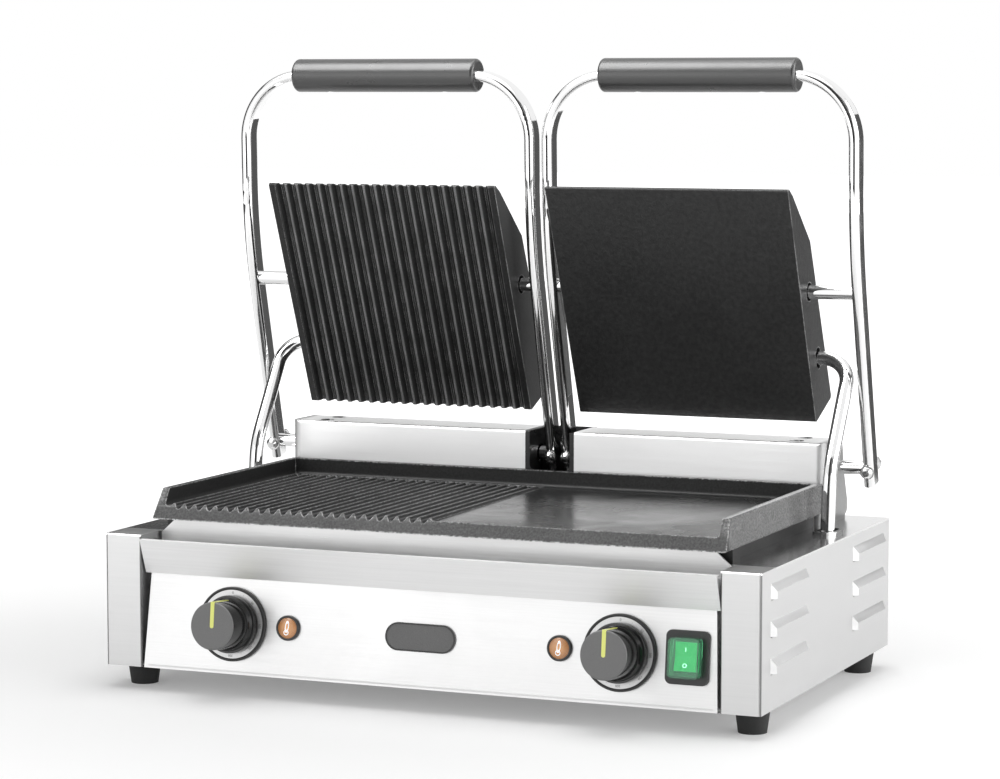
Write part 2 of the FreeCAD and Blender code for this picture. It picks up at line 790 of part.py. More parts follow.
def rib_bed():
    """Raised bed on the left of the smooth floor, from which the ribs are formed."""
    reach = rib_crest + rib_crest_width / 2
    left, right = -lower_rib_first - reach, reach - lower_rib_middle
    bed = prism([(left, plate_flat_z), (left + rib_crest, crest_z), (right - rib_crest, crest_z),
                 (right, plate_flat_z)], "xz", 0, rib_rear)
    slope = plate_rake / (plate_top_z - plate_under_z)
    front = plate_front_y + slope * plate_floor
    trim = [(front, plate_flat_z), (front + slope * rib_crest, crest_z),
            (rib_rear - rib_crest, crest_z), (rib_rear, plate_flat_z)]
    return bed.common(prism(trim, "yz", left, right))


def rib_grooves():
    """Valleys between the ribs of the lower plate."""
    valley_z = crest_z - rib_depth
    cutters = []
    for index in range(lower_rib_count - 1):
        left = -lower_rib_first + index * lower_rib_pitch + rib_crest_width / 2
        right = left + lower_rib_pitch - rib_crest_width
        middle = (left + right) / 2
        shape = [(left, crest_z), (middle - rib_valley / 2, valley_z),
                 (middle + rib_valley / 2, valley_z), (right, crest_z)]
        cutters.append(prism(shape, "xz", 0, rib_rear - rib_crest))
    return cutters


def plate_feet():
    """Skirt and corner legs that stand the casting on the deck."""
    outer = box(-skirt_half, skirt_half, skirt_front, skirt_rear, deck_z, plate_under_z)
    inner = box(-skirt_half + skirt_wall, skirt_half - skirt_wall, skirt_front + skirt_wall,
                skirt_rear - skirt_wall, deck_z, plate_under_z)
    leg = prism([(plate_half_top - leg_top, plate_under_z), (plate_half_top, plate_under_z),
                 (plate_half_top, deck_z), (plate_half_top - leg_foot, deck_z)],
                "xz", leg_front, leg_front + leg_length)
    return [outer.cut(inner), leg, mirrored(leg)]


def serpentine(start, length, along, normal, pitch, radius):
    """Tube of parallel runs, the first along a direction and each next one further in x."""
    tube = Bar(round_section(radius), start, along, normal)
    turn = 180 if normal.cross(along).x > 0 else -180
    for _ in range(element_runs - 1):
        tube.run(length)
        tube.bend(normal, turn, pitch / 2)
        turn = -turn
    return tube.run(length).solid()


def lower_element(side):
    """Tubular heater under one half of the lower plate."""
    start = Vector(element_first_x, element_rear, plate_under_z - element_radius)
    heater = serpentine(start, element_rear - element_front, Y_AXIS * -1, Z_AXIS,
                        element_pitch, element_radius)
    return sided(heater, side)


def element_clamps():
    """Flat bars that press the heaters up against the casting."""
    z = plate_under_z - 2 * element_radius
    left = element_first_x - element_radius - clamp_reach
    right = element_first_x + element_span + element_radius + clamp_reach
    post = left + clamp_post
    bars = []
    for y in clamp_ys:
        bar = box(left, right, y, y + clamp_width, z - clamp_thick, z)
        bar = bar.fuse(box(post, post + clamp_width, y, y + clamp_width, z, plate_under_z))
        bars += [bar, mirrored(bar)]
    return group(bars)


def heat_shield():
    """Pan under the deck's window that keeps the heat out of the cabinet."""
    t = sheet
    top = deck_under_z
    pan = box(-window_half, window_half, window_front, window_rear, top - shield_depth, top)
    pan = pan.cut(box(-window_half + t, window_half - t, window_front + t, window_rear - t,
                      top - shield_depth + t, top))
    rim = box(-window_half - shield_flange, window_half + shield_flange,
              window_front - shield_flange, window_rear + shield_flange, top - t, top)
    rim = rim.cut(box(-window_half, window_half, window_front, window_rear, 0, beyond))
    return pan.fuse(rim).removeSplitter()


# ---------------------------------------------------------------- hinges
def cover_shell(inset):
    """Filled outline of the right hinge cover, drawn in by an inset."""
    i = inset
    heel_y = cover_foot_y - cover_heel - i
    profile = [(cover_front_y + i, 0), (cover_front_y + i, cover_top_z - i, cover_fold),
               (cover_back_y - i, cover_top_z - i, cover_fold),
               (cover_back_y + cover_flare - i, cover_mid_z, cover_sweep),
               (cover_foot_y - i, cover_knee_z, cover_knee), (cover_foot_y - i, cover_heel_z, cover_knee),
               (heel_y, cover_low_z, cover_fold), (heel_y, 0)]
    side = prism(profile, "yz", cover_inner_x + i, cover_outer_x - i)
    plan = [(cover_inner_x + i, cover_front_y + i),
            (cover_outer_x - i, cover_front_y + i, cover_corner - i),
            (cover_outer_x - i, beyond), (cover_inner_x + i, beyond)]
    return side.common(prism(plan, "xy", deck_z, beyond))


def hinge_cover(side):
    """Folded cover over one lid's bearings, with the axle holes and two holes in its top."""
    cover = cover_shell(0.0).cut(cover_shell(sheet))
    cuts = [rod(axle_radius + axle_hole_clear, hinge, hinge + X_AXIS * beyond)]
    for y in cover_holes_y:
        cuts.append(Part.makeCylinder(cover_hole_radius, beyond,
                                      Vector(cover_outer_x - cover_hole_inset, y, hinge_z)))
    return sided(cover.cut(cuts), side)


def hinge_bracket():
    """Black bracket between the covers: a front with a U opening, cheeks, floor and back."""
    t = bracket_sheet
    half = cover_inner_x
    top = cover_top_z - bracket_drop
    back = hinge_y + bracket_back
    horn = half - bracket_horn
    outline = [(-half, deck_z), (half, deck_z), (half, top), (horn, top),
               (horn, bracket_lip_z, bracket_corner), (-horn, bracket_lip_z, bracket_corner),
               (-horn, top), (-half, top)]
    front = prism(outline, "xz", cover_front_y, cover_front_y + t)
    rear = box(-half, half, back - t, back, deck_z, top)
    floor = box(-half, half, cover_front_y, back, bracket_floor_z - t, bracket_floor_z)
    cheeks = [box(half - t, half, cover_front_y, back, deck_z, top),
              box(-half, t - half, cover_front_y, back, deck_z, top)]
    bracket = front.multiFuse([rear, floor] + cheeks).removeSplitter()
    return bracket.cut(rod(axle_radius + axle_hole_clear, hinge - X_AXIS * beyond,
                           hinge + X_AXIS * beyond))


def bearing_ends():
    """Near and far end of each bearing on the axles' line."""
    reach = X_AXIS * (bearing_thick / 2)
    middles = [hinge + X_AXIS * (side * x) for side in (-1, 1) for x in bearing_xs]
    return [(middle - reach, middle + reach) for middle in middles]


def bearing_blocks():
    """Pedestals that carry the axles inside the covers."""
    foot_z = deck_z + pedestal_foot
    outline = [(hinge_y - pedestal_half, deck_z), (hinge_y + pedestal_half, deck_z),
               (hinge_y + pedestal_half, foot_z), (hinge_y + bearing_head, hinge_z),
               (hinge_y - bearing_head, hinge_z), (hinge_y - pedestal_half, foot_z)]
    blocks = []
    for low, high in bearing_ends():
        block = prism(outline, "yz", low.x, high.x).fuse(rod(bearing_head, low, high))
        blocks.append(block.cut(rod(bush_radius, low, high)))
    return group(blocks)


def bearing_bushes():
    """Flanged bushes in the pedestals."""
    bushes = []
    for low, high in bearing_ends():
        end = high + X_AXIS * bush_flange
        bush = rod(bush_radius, low, high).fuse(rod(bush_radius + bush_flange_rim, high, end))
        bushes.append(bush.cut(rod(axle_radius + spindle_fit, low, end)))
    return group(bushes)


def torsion_springs():
    """Coils of square wire round the axles that balance the lids."""
    radius = axle_radius + spring_gap + spring_wire / 2
    pitch = spring_wire + spring_pitch_gap
    helix = Part.makeHelix(pitch, pitch * spring_turns, radius)
    square = rectangle(spring_wire, spring_wire, 0, (radius, 0))
    section = closed_wire(square, PLANES["xz"][0])
    coil = Part.Wire(helix).makePipeShell([section], True, True)
    coil.rotate(Vector(0, 0, 0), Y_AXIS, 90)
    start_x = bearing_xs[0] + bearing_thick / 2 + bush_flange + spring_clear + spring_wire / 2
    coil.translate(hinge + X_AXIS * start_x)
    return group([coil, mirrored(coil)])


# ---------------------------------------------------------------- lids
upper_run = Vector(0, -math.sin(math.radians(arm_upper_lean)),
                   math.cos(math.radians(arm_upper_lean)))
crossbar = Vector(0, bail_top_y, bail_top_z)


def knee_point():
    """Where the lower and upper runs of an arm would meet."""
    gap = crossbar - hinge
    spread = arm_rise.y * upper_run.z - arm_rise.z * upper_run.y
    return hinge + arm_rise * ((gap.y * upper_run.z - gap.z * upper_run.y) / spread)


def bolt_axes():
    """Points on the right axle where its arms' cross bolts pass, and the bolts' direction."""
    return [hinge + X_AXIS * x for x in (arm_inner_x, arm_outer_x)], arm_rise.cross(X_AXIS)


def bail_bar():
    """Undrilled frame of the right lid: two arms and a crossbar bent from one flat-oval bar."""
    knee = knee_point()
    turn = arm_lean - arm_upper_lean
    reach = knee_radius * math.tan(math.radians(turn / 2))
    section = Part.Face(closed_wire(stadium(bar_thick, bar_wide), PLANES["xy"][0]))
    start = hinge + X_AXIS * arm_inner_x - arm_rise * arm_tail
    bar = Bar(section, start, arm_rise, X_AXIS.cross(arm_rise))
    corner_axis = upper_run.cross(X_AXIS)
    bar.run_to(knee - arm_rise * reach).bend(X_AXIS, -turn, knee_radius)
    bar.run_to(crossbar - upper_run * bail_corner).bend(corner_axis, 90, bail_corner)
    bar.run_to(X_AXIS * (arm_outer_x - bail_corner)).bend(corner_axis, 90, bail_corner)
    bar.run_to(knee + upper_run * reach).bend(X_AXIS, turn, knee_radius)
    return bar.run_to(hinge - arm_rise * arm_tail).solid()


def bail(side):
    """Lid frame, drilled for its axle, cross rod, bolts and grip screws."""
    cuts = [axle_bar(), rod(rod_radius, cross_rod, cross_rod + X_AXIS * beyond)]
    cuts += bolt_holes()
    cuts += [Part.makeCylinder(screw_radius, bar_wide, p, upper_run) for p in grip_screw_places()]
    return sided(bail_bar().cut(cuts), side)


def bolt_holes():
    """Holes for the cross bolts of the right lid."""
    points, direction = bolt_axes()
    return [rod(bolt_radius, p - direction * bar_wide, p + direction * bar_wide) for p in points]


def axle_bar():
    """Undrilled axle of the right lid."""
    return rod(axle_radius, hinge + X_AXIS * (arm_inner_x - bar_thick / 2), hinge + X_AXIS * arm_outer_x)


def axle(side):
    """Axle fixed in the ends of one lid's arms."""
    return sided(axle_bar().cut(bolt_holes()), side)


def axle_bolts(side):
    """Cross bolts with nuts that pin the arms to the axle."""
    points, direction = bolt_axes()
    reach = bar_wide / 2
    nut_outline = [(nut_radius * math.cos(a * math.pi / 3), nut_radius * math.sin(a * math.pi / 3))
                   for a in range(6)]
    pieces = []
    for point in points:
        seat = point - direction * reach
        outer = seat - direction * washer
        bolt = rod(bolt_radius, seat, point + direction * (reach + washer + nut_height + bolt_end))
        bolt = bolt.fuse(rod(bolt_head_radius + washer_rim, outer, seat))
        head = turned([(0, 0), (bolt_head_radius, 0), (bolt_head_radius, washer, bolt_head_edge),
                       (bolt_radius, bolt_head_height, bolt_head_edge), (0, bolt_head_height)])
        head.Placement = Placement(outer, Rotation(Z_AXIS, direction * -1))
        pieces.append(bolt.fuse(head))
        nut = prism(nut_outline, "xy", 0, nut_height)
        nut = nut.fuse(Part.makeCylinder(nut_radius + washer_rim, washer, Vector(0, 0, -washer)))
        nut.Placement = Placement(point + direction * (reach + washer), Rotation(Z_AXIS, direction))
        pieces.append(nut.cut(bolt))
    return sided(group(pieces), side)


def grip_screw_places():
    """Points on the underside of the right grip where its screws go in."""
    low = crossbar - upper_run * grip_radius
    return [low + X_AXIS * (arm_middle_x + step * grip_screw_spread) for step in (-1, 1)]


def grip(side, upper_half):
    """One half of a hand grip, moulded round the crossbar and parted level with its middle."""
    half = grip_length / 2
    body = turned([(0, -half), (grip_radius, -half, grip_edge), (grip_radius, half, grip_edge),
                   (0, half)])
    body.rotate(Vector(0, 0, 0), Y_AXIS, 90)
    low, high = (0, 2 * grip_radius) if upper_half else (-2 * grip_radius, 0)
    body = body.common(box(-half, half, -2 * grip_radius, 2 * grip_radius, low, high))
    body.rotate(Vector(0, 0, 0), X_AXIS, arm_upper_lean)
    body.translate(crossbar + X_AXIS * arm_middle_x)
    cuts = [bail_bar()]
    for point in grip_screw_places():
        cuts.append(Part.makeCylinder(screw_radius, grip_screw_length, point, upper_run))
        cuts.append(Part.makeCylinder(screw_head_radius, 2 * grip_counterbore,
                                      point - upper_run * grip_counterbore, upper_run))
    return sided(body.cut(cuts), side)


def grip_screws(side):
    """Screws that hold the two halves of a grip together."""
    length = grip_screw_length - grip_counterbore
    screws = [pan_screw(point + upper_run * grip_counterbore, upper_run, length)
              for point in grip_screw_places()]
    return sided(group(screws), side)


def plate_rod(side):
    """Cross rod that carries the upper plate between the arms."""
    start = cross_rod + X_AXIS * (arm_inner_x - bar_thick / 2)
    return sided(rod(rod_radius, start, cross_rod + X_AXIS * (arm_outer_x + bar_thick / 2)), side)


def rod_collars(side):
    """Collars on the cross rod that keep the plate midway between the arms."""
    inside = upper_width / 2 - upper_wall - upper_boss_length - collar_gap
    collars = []
    for direction in (-1, 1):
        near = cross_rod + X_AXIS * (upper_x + direction * inside)
        far = cross_rod + X_AXIS * (upper_x + direction * (inside - collar_width))
        collars.append(rod(collar_radius, near, far).cut(rod(rod_radius, near, far)))
    return sided(group(collars), side)


# ---------------------------------------------------------------- upper plates
def upper_profile():
    """Side outline of an upper plate as (depth behind the face, height along it)."""
    half = upper_half
    return [(0, -half, upper_edge), (0, half, upper_edge), (upper_lip, half, upper_edge),
            (upper_nose, upper_slope_end, upper_round),
            (upper_high_back, upper_slope_start, upper_round), (upper_low_back, -half, upper_round)]


def cover_skin():
    """Sheet that closes the back of an upper plate, drawn where it lies."""
    side = upper_width / 2 - cover_ledge
    full = prism(upper_profile(), "yz", -side, side)
    skin = full.cut(moved(full, y=-cover_sheet))
    return skin.common(box(-side, side, 0, upper_length, cover_ledge - upper_half,
                           upper_slope_end - cover_ledge))


def upper_plate(side, ribbed):
    """Casting of an upper plate with its side walls, pivot bosses and conduit hole."""
    half = upper_width / 2
    wall = half - upper_wall
    plate = prism(upper_profile(), "yz", -half, half)
    slope = (upper_high_back - upper_nose) / (upper_slope_end - upper_slope_start)
    top = upper_slope_end - upper_wall - (upper_floor + cover_sheet - upper_nose) / slope
    plate = plate.cut(box(-wall, wall, upper_floor, upper_length, upper_wall - upper_half, top))
    plate = plate.cut(cover_skin())
    depth, along = upper_local(rod_y, rod_z)
    for direction in (-1, 1):
        start = Vector(direction * (wall - upper_boss_length), depth, along)
        end = Vector(direction * wall, depth, along)
        plate = plate.fuse(rod(upper_boss_radius, start, end))
        plate = plate.cut(rod(rod_radius + spindle_fit, start, end))
        plate = plate.cut(rod(rod_hole_radius, end, end + X_AXIS * (direction * 2 * upper_wall)))
    slot = stadium(conduit_slot_width, conduit_slot_length, (conduit_pivot_n, conduit_along))
    hole = prism(slot, "yz", wall - upper_wall, half + upper_wall)
    plate = plate.cut(sided(hole, side))
    if ribbed:
        plate = plate.cut(upper_grooves())
    return on_upper_plate(plate, side)


def upper_grooves():
    """Valleys between the ribs of the ribbed upper plate."""
    cutters = []
    first = -(upper_rib_count - 1) / 2 * upper_rib_pitch
    for index in range(upper_rib_count - 1):
        left = first + index * upper_rib_pitch + rib_crest_width / 2
        right = left + upper_rib_pitch - rib_crest_width
        middle = (left + right) / 2
        shape = [(left, 0), (right, 0), (middle + rib_valley / 2, rib_depth),
                 (middle - rib_valley / 2, rib_depth)]
        cutters.append(prism(shape, "xy", -upper_length, upper_length))
    return cutters


def plate_cover(side):
    """Bent sheet that closes the back of an upper plate."""
    return on_upper_plate(cover_skin(), side)


def upper_element(side):
    """Tubular heater on the back of an upper plate's floor."""
    start = Vector(-upper_element_span / 2, upper_floor + upper_element_radius,
                   upper_element_low - upper_half)
    heater = serpentine(start, upper_length - upper_element_low - upper_element_high, Z_AXIS, Y_AXIS,
                        upper_element_pitch, upper_element_radius)
    return on_upper_plate(heater, side)


def conduit(side):
    """Polished tube that leads an upper plate's wires down into the cabinet."""
    start = conduit_pivot + X_AXIS * (upper_x + upper_width / 2 - conduit_inset)
    knee = Vector(0, conduit_bend_y, conduit_bend_z)
    foot = Vector(0, conduit_end_y, conduit_end_z)
    down, last = (knee - conduit_pivot).normalize(), (foot - knee).normalize()
    turn = math.degrees(down.getAngle(last))
    tube = Bar(round_section(conduit_radius), start, X_AXIS, Z_AXIS)
    tube.run_to(X_AXIS * (conduit_x - conduit_top_bend))
    tube.bend(X_AXIS.cross(down), 90, conduit_top_bend)
    tube.run_to(knee - down * (conduit_low_bend * math.tan(math.radians(turn / 2))))
    tube.bend(down.cross(last).normalize(), turn, conduit_low_bend)
    return sided(tube.run_to(foot).solid(), side)


def conduit_grommets():
    """Oblong grommets in the deck where the conduits pass."""
    grommets = []
    for side in (-1, 1):
        at = (side * conduit_x, grommet_y)
        collar = prism(stadium(grommet_width, grommet_length, at), "xy", deck_z,
                       deck_z + grommet_lip)
        neck = prism(stadium(grommet_slot_width, grommet_slot_length, at), "xy",
                     deck_under_z - grommet_depth, deck_z)
        hole = prism(stadium(grommet_hole_width, grommet_hole_length, at), "xy", 0, beyond)
        grommets.append(collar.fuse(neck).cut(hole))
    return group(grommets)


# ---------------------------------------------------------------- controls
def dials():
    """Round scales behind the knobs, each with a raised rim."""
    floor = dial_thickness - dial_recess
    ring = turned([(dial_bore, 0), (dial_radius, 0), (dial_radius, dial_thickness, small_edge),
                   (dial_radius - dial_rim, dial_thickness, small_edge),
                   (dial_radius - dial_rim - dial_recess, floor), (dial_bore, floor)])
    return group([on_fascia(ring, side * knob_x, control_s) for side in (-1, 1)])


def knob(side):
    """Turning knob with a flared skirt and a raised pointer on its face and side."""
    base = dial_thickness + knob_gap
    step = base + knob_skirt_height
    top = base + knob_height
    body = turned([(0, base), (knob_skirt_radius, base, small_edge),
                   (knob_skirt_radius, step, small_edge),
                   (knob_ledge_radius, step), (knob_waist_radius, step + knob_flare_height, knob_flare),
                   (knob_face_radius, top, knob_edge), (0, top)])
    half = pointer_width / 2
    line = stadium(pointer_width, knob_skirt_radius + half, (0, (knob_skirt_radius - half) / 2))
    line = prism(line, "xy", step + knob_flare_height, top + pointer_rise)
    limit = Part.makeCone(knob_waist_radius + pointer_rise, knob_face_radius + pointer_rise,
                          knob_height - knob_skirt_height - knob_flare_height + pointer_rise,
                          Vector(0, 0, step + knob_flare_height))
    body = body.fuse(line.common(limit))
    body = body.cut(Part.makeCylinder(spindle_radius, spindle_reach, Vector(0, 0, base)))
    return on_fascia(body, side * knob_x, control_s)


def spindle(side):
    """Thermostat spindle fixed in a knob."""
    length = dial_thickness + knob_gap + spindle_reach + sheet + spindle_depth
    bar = Part.makeCylinder(spindle_radius, length, Vector(0, 0, -sheet - spindle_depth))
    return on_fascia(bar, side * knob_x, control_s)


def thermostats():
    """Capillary thermostats behind the fascia, their threaded necks passing through it."""
    case = prism(rectangle(thermostat_size, thermostat_size, thermostat_corner), "xy",
                 -sheet - thermostat_depth, -sheet)
    neck = Part.makeCylinder(thermostat_neck, dial_thickness + sheet - neck_short,
                             Vector(0, 0, -sheet))
    bore = Part.makeCylinder(spindle_radius + spindle_fit, beyond,
                             Vector(0, 0, -sheet - spindle_depth))
    body = case.fuse(neck).cut(bore)
    return group([on_fascia(body, side * knob_x, control_s) for side in (-1, 1)])


def lamp_bezels():
    """Black rims and bodies of the two heating lamps."""
    inner = lamp_radius - lamp_rim
    lamp = turned([(0, -lamp_body_length), (lamp_radius - lamp_stem_inset, -lamp_body_length),
                   (lamp_radius - lamp_stem_inset, 0), (lamp_radius, 0),
                   (lamp_radius, lamp_rise, small_edge), (inner, lamp_rise, small_edge),
                   (inner, lamp_rise / 2), (0, lamp_rise / 2)])
    return group([on_fascia(lamp, side * lamp_x, control_s) for side in (-1, 1)])


def lamp_lenses():
    """Domed amber lenses."""
    radius = lamp_radius - lamp_rim
    lens = turned([(0, lamp_rise / 2), (radius, lamp_rise / 2), (radius, lamp_rise - small_edge),
                   (lens_shoulder, lens_rise - lens_fall, lens_crown), (0, lens_rise)])
    return group([on_fascia(lens, side * lamp_x, control_s) for side in (-1, 1)])


def badge_plate():
    """Bare oblong badge with a raised rim."""
    plate = prism(stadium(badge_length, badge_height), "xy", 0, badge_thickness)
    field = stadium(badge_length - 2 * badge_rim, badge_height - 2 * badge_rim)
    plate = plate.cut(prism(field, "xy", badge_thickness - badge_recess, badge_thickness))
    return on_fascia(plate, badge_x, control_s)


def switch_bezel():
    """Switch body with its bezel and the well that the rocker turns in."""
    rim = prism(rectangle(switch_width, switch_height, switch_corner), "xy", 0, switch_rise)
    body = prism(rectangle(switch_body_width, switch_body_height), "xy", -switch_body_depth, 0)
    well = rectangle(rocker_width + 2 * rocker_clear, rocker_height + 2 * rocker_clear)
    switch = rim.fuse(body).cut(prism(well, "xy", -rocker_well, switch_rise))
    reach = X_AXIS * (rocker_width / 2 + rocker_pin)
    pin = Vector(0, 0, rocker_pin_n)
    return on_fascia(switch.cut(rod(rocker_pin_radius + spindle_fit, pin - reach, pin + reach)),
                     switch_x, control_s)


def switch_rocker():
    """Rocker on its pin, resting with its lower end pressed."""
    half = rocker_height / 2
    crown = switch_rise + rocker_rise
    waist = switch_rise - sheet
    keel = rocker_pin_n - rocker_keel
    shape = [(-half, waist), (-rocker_keel, keel), (rocker_keel, keel), (half, waist),
             (half, crown, small_edge), (0, crown - rocker_dish), (-half, crown, small_edge)]
    rocker = prism(shape, "yz", -rocker_width / 2, rocker_width / 2)
    reach = X_AXIS * (rocker_width / 2 + rocker_pin - rocker_clear)
    pin = Vector(0, 0, rocker_pin_n)
    rocker = rocker.fuse(rod(rocker_pin_radius, pin - reach, pin + reach))
    rocker.rotate(pin, X_AXIS, -rocker_tilt)
    return on_fascia(rocker, switch_x, control_s)


def switch_hood():
    """Soft clear-green cap over the rocker, held in the bezel."""
    outer = prism(rectangle(hood_width, hood_height, hood_corner), "xy", switch_rise,
                  switch_rise + hood_rise)
    inner = rectangle(hood_width - 2 * hood_wall, hood_height - 2 * hood_wall, hood_corner - hood_wall)
    hood = outer.cut(prism(inner, "xy", 0, switch_rise + hood_rise - hood_wall))
    return on_fascia(hood, switch_x, control_s)


# ---------------------------------------------------------------- wiring
def terminal_block():
    """Mains terminal block on the base pan."""
    low = foot_height + sheet
    high = low + terminal_height
    block = box(terminal_x, terminal_x + terminal_ways * terminal_pitch, terminal_y,
                terminal_y + terminal_width, low, high)
    ways = [Part.makeCylinder(terminal_way_radius, terminal_way_depth,
                              Vector(terminal_x + (step + 0.5) * terminal_pitch,
                                     terminal_y + terminal_width / 2, high - terminal_way_depth))
            for step in range(terminal_ways)]
    return block.cut(ways)


def cable_gland():
    """Gland for the mains lead, with its lock nut inside the rear panel."""
    at = Vector(gland_x, rear_face_y, gland_z)
    flange_end, end = at + Y_AXIS * gland_flange, at + Y_AXIS * gland_length
    body = rod(gland_radius, at - Y_AXIS * gland_inside, end)
    flange = rod(gland_radius + gland_flange_rim, at, flange_end)
    cap = rod(gland_radius + gland_cap_rim, flange_end, end)
    nut_seat = at - Y_AXIS * sheet
    nut = rod(gland_radius + gland_flange_rim, nut_seat - Y_AXIS * gland_nut, nut_seat)
    bore = rod(gland_bore, at - Y_AXIS * gland_inside, end)
    return group([body.fuse([flange, cap]).cut(bore), nut.cut(body)])


# ---------------------------------------------------------------- nodes
def all_nodes():
    """Every sub-part by its node name."""
    nodes = {
        "base_pan": base_pan(),
        "rear_panel": rear_panel(),
        "fascia_panel": fascia_panel(),
        "deck_plate": deck_plate(),
        "trough_panel": trough_panel(),
        "drip_tray": drip_tray(),
        "case_screws": case_screws(),
        "rubber_feet": rubber_feet(),
        "lower_plate": lower_plate(),
        "element_clamps": element_clamps(),
        "heat_shield": heat_shield(),
        "hinge_bracket": hinge_bracket(),
        "bearing_blocks": bearing_blocks(),
        "bearing_bushes": bearing_bushes(),
        "torsion_springs": torsion_springs(),
        "conduit_grommets": conduit_grommets(),
        "thermostats": thermostats(),
        "dials": dials(),
        "lamp_bezels": lamp_bezels(),
        "lamp_lenses": lamp_lenses(),
        "badge_plate": badge_plate(),
        "switch_bezel": switch_bezel(),
        "switch_rocker": switch_rocker(),
        "switch_hood": switch_hood(),
        "terminal_block": terminal_block(),
        "cable_gland": cable_gland(),
    }
    for name, side in SIDES:
        nodes["side_panel_" + name] = side_panel(side)
        nodes["lower_element_" + name] = lower_element(side)
        nodes["hinge_cover_" + name] = hinge_cover(side)
        nodes["bail_" + name] = bail(side)
        nodes["axle_" + name] = axle(side)
        nodes["axle_bolts_" + name] = axle_bolts(side)
        nodes["grip_top_" + name] = grip(side, True)
        nodes["grip_base_" + name] = grip(side, False)
        nodes["grip_screws_" + name] = grip_screws(side)
        nodes["plate_rod_" + name] = plate_rod(side)
        nodes["rod_collars_" + name] = rod_collars(side)
        nodes["upper_plate_" + name] = upper_plate(side, ribbed=side < 0)
        nodes["plate_cover_" + name] = plate_cover(side)
        nodes["upper_element_" + name] = upper_element(side)
        nodes["conduit_" + name] = conduit(side)
        nodes["knob_" + name] = knob(side)
        nodes["spindle_" + name] = spindle(side)
    return nodes


os.makedirs("parts", exist_ok=True)
for node, shape in all_nodes().items():
    placed = shape.copy()
    placed.translate(Vector(0, -middle_y, 0))
    placed.exportStep("parts/" + node + ".step")
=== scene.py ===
import json
import math

import bpy
from mathutils import Matrix, Vector
from mathutils.bvhtree import BVHTree


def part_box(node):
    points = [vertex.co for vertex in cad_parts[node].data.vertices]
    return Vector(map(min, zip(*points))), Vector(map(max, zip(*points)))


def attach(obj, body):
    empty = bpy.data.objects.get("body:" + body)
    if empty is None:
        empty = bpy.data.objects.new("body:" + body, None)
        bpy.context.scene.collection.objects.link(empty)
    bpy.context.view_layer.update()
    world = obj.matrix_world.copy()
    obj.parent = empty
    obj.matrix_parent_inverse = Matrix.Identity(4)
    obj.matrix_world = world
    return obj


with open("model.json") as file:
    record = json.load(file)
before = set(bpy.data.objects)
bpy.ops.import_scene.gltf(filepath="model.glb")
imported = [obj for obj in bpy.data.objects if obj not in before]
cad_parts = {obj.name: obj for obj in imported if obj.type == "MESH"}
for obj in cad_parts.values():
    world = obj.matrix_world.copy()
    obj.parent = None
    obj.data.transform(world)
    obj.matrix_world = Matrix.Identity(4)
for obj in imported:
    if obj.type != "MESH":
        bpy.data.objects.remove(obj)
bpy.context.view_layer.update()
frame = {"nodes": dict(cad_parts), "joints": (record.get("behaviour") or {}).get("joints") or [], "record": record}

# Finishes and printed marks of a double contact grill.  Lengths are in metres, angles in
# degrees where their name says so, and tones run from 0, black, to 1, white.

MM = 0.001
SIDES = {"left": -1, "right": 1}
nodes = frame["nodes"]


# ---------------------------------------------------------------- shader building blocks
NOISE_RANGE = (0.3, 0.7)        # nearly all of a noise lies between these
BEVEL_SAMPLES = 6
EDGE_LIKENESS = (0.985, 0.86)   # how alike rounded and flat normals are: at no edge, on an edge
EDGE_PATCHES = (0.36, 0.6)      # noise between which the wear grows from its least to its most
LEAST_WEAR = 0.25


def feed_socket(tree, socket, value):
    """Link an output to a socket, or set a plain value on it."""
    if isinstance(value, bpy.types.NodeSocket):
        tree.links.new(value, socket)
    else:
        socket.default_value = value


def feed(tree, node, *values, **named):
    """Feed a node's sockets: values in order, then named ones, with _ for a space."""
    for socket, value in zip(node.inputs, values):
        feed_socket(tree, socket, value)
    for name, value in named.items():
        feed_socket(tree, node.inputs[name.replace("_", " ")], value)


def add(tree, kind, *values, settings=None, **named):
    """Add a shader node, give it its settings and feed its sockets."""
    made = tree.nodes.new("ShaderNode" + kind)
    for key, value in (settings or {}).items():
        setattr(made, key, value)
    feed(tree, made, *values, **named)
    return made


def math_node(tree, operation, *values, clamp=False):
    """Output of a Math node."""
    settings = {"operation": operation, "use_clamp": clamp}
    return add(tree, "Math", *values, settings=settings).outputs[0]


def vector_node(tree, operation, *values, output="Vector"):
    """Output of a Vector Math node."""
    return add(tree, "VectorMath", *values, settings={"operation": operation}).outputs[output]


def times(tree, first, second):
    """Product of two values."""
    return math_node(tree, "MULTIPLY", first, second)


def remap(tree, value, low, high, to_low=0.0, to_high=1.0):
    """Value carried from one range to another, held at the ends."""
    return add(tree, "MapRange", value, low, high, to_low, to_high).outputs[0]


def spread(tree, noise, to_low=0.0, to_high=1.0):
    """Noise, which keeps to its middle values, spread over a whole range."""
    return remap(tree, noise, *NOISE_RANGE, to_low, to_high)


def up_to(tree, value, end, begins, full):
    """Mask of what lies close below an end: it begins at one distance, and is full at another."""
    return remap(tree, value, end - begins, end - full)


def down_to(tree, value, end, begins, full):
    """Mask of what lies close above an end."""
    return remap(tree, value, end + begins, end + full)


def between(tree, mask, at_none, at_full):
    """Value that goes from one to another as a mask goes from 0 to 1."""
    return remap(tree, mask, 0.0, 1.0, at_none, at_full)


def blend_colour(tree, factor, first, second):
    """Colour between two colours."""
    mix = add(tree, "Mix", factor, settings={"data_type": "RGBA"})
    colours = [socket for socket in mix.inputs if socket.type == "RGBA"]
    for socket, value in zip(colours, (first, second)):
        feed_socket(tree, socket, value)
    return next(socket for socket in mix.outputs if socket.type == "RGBA")


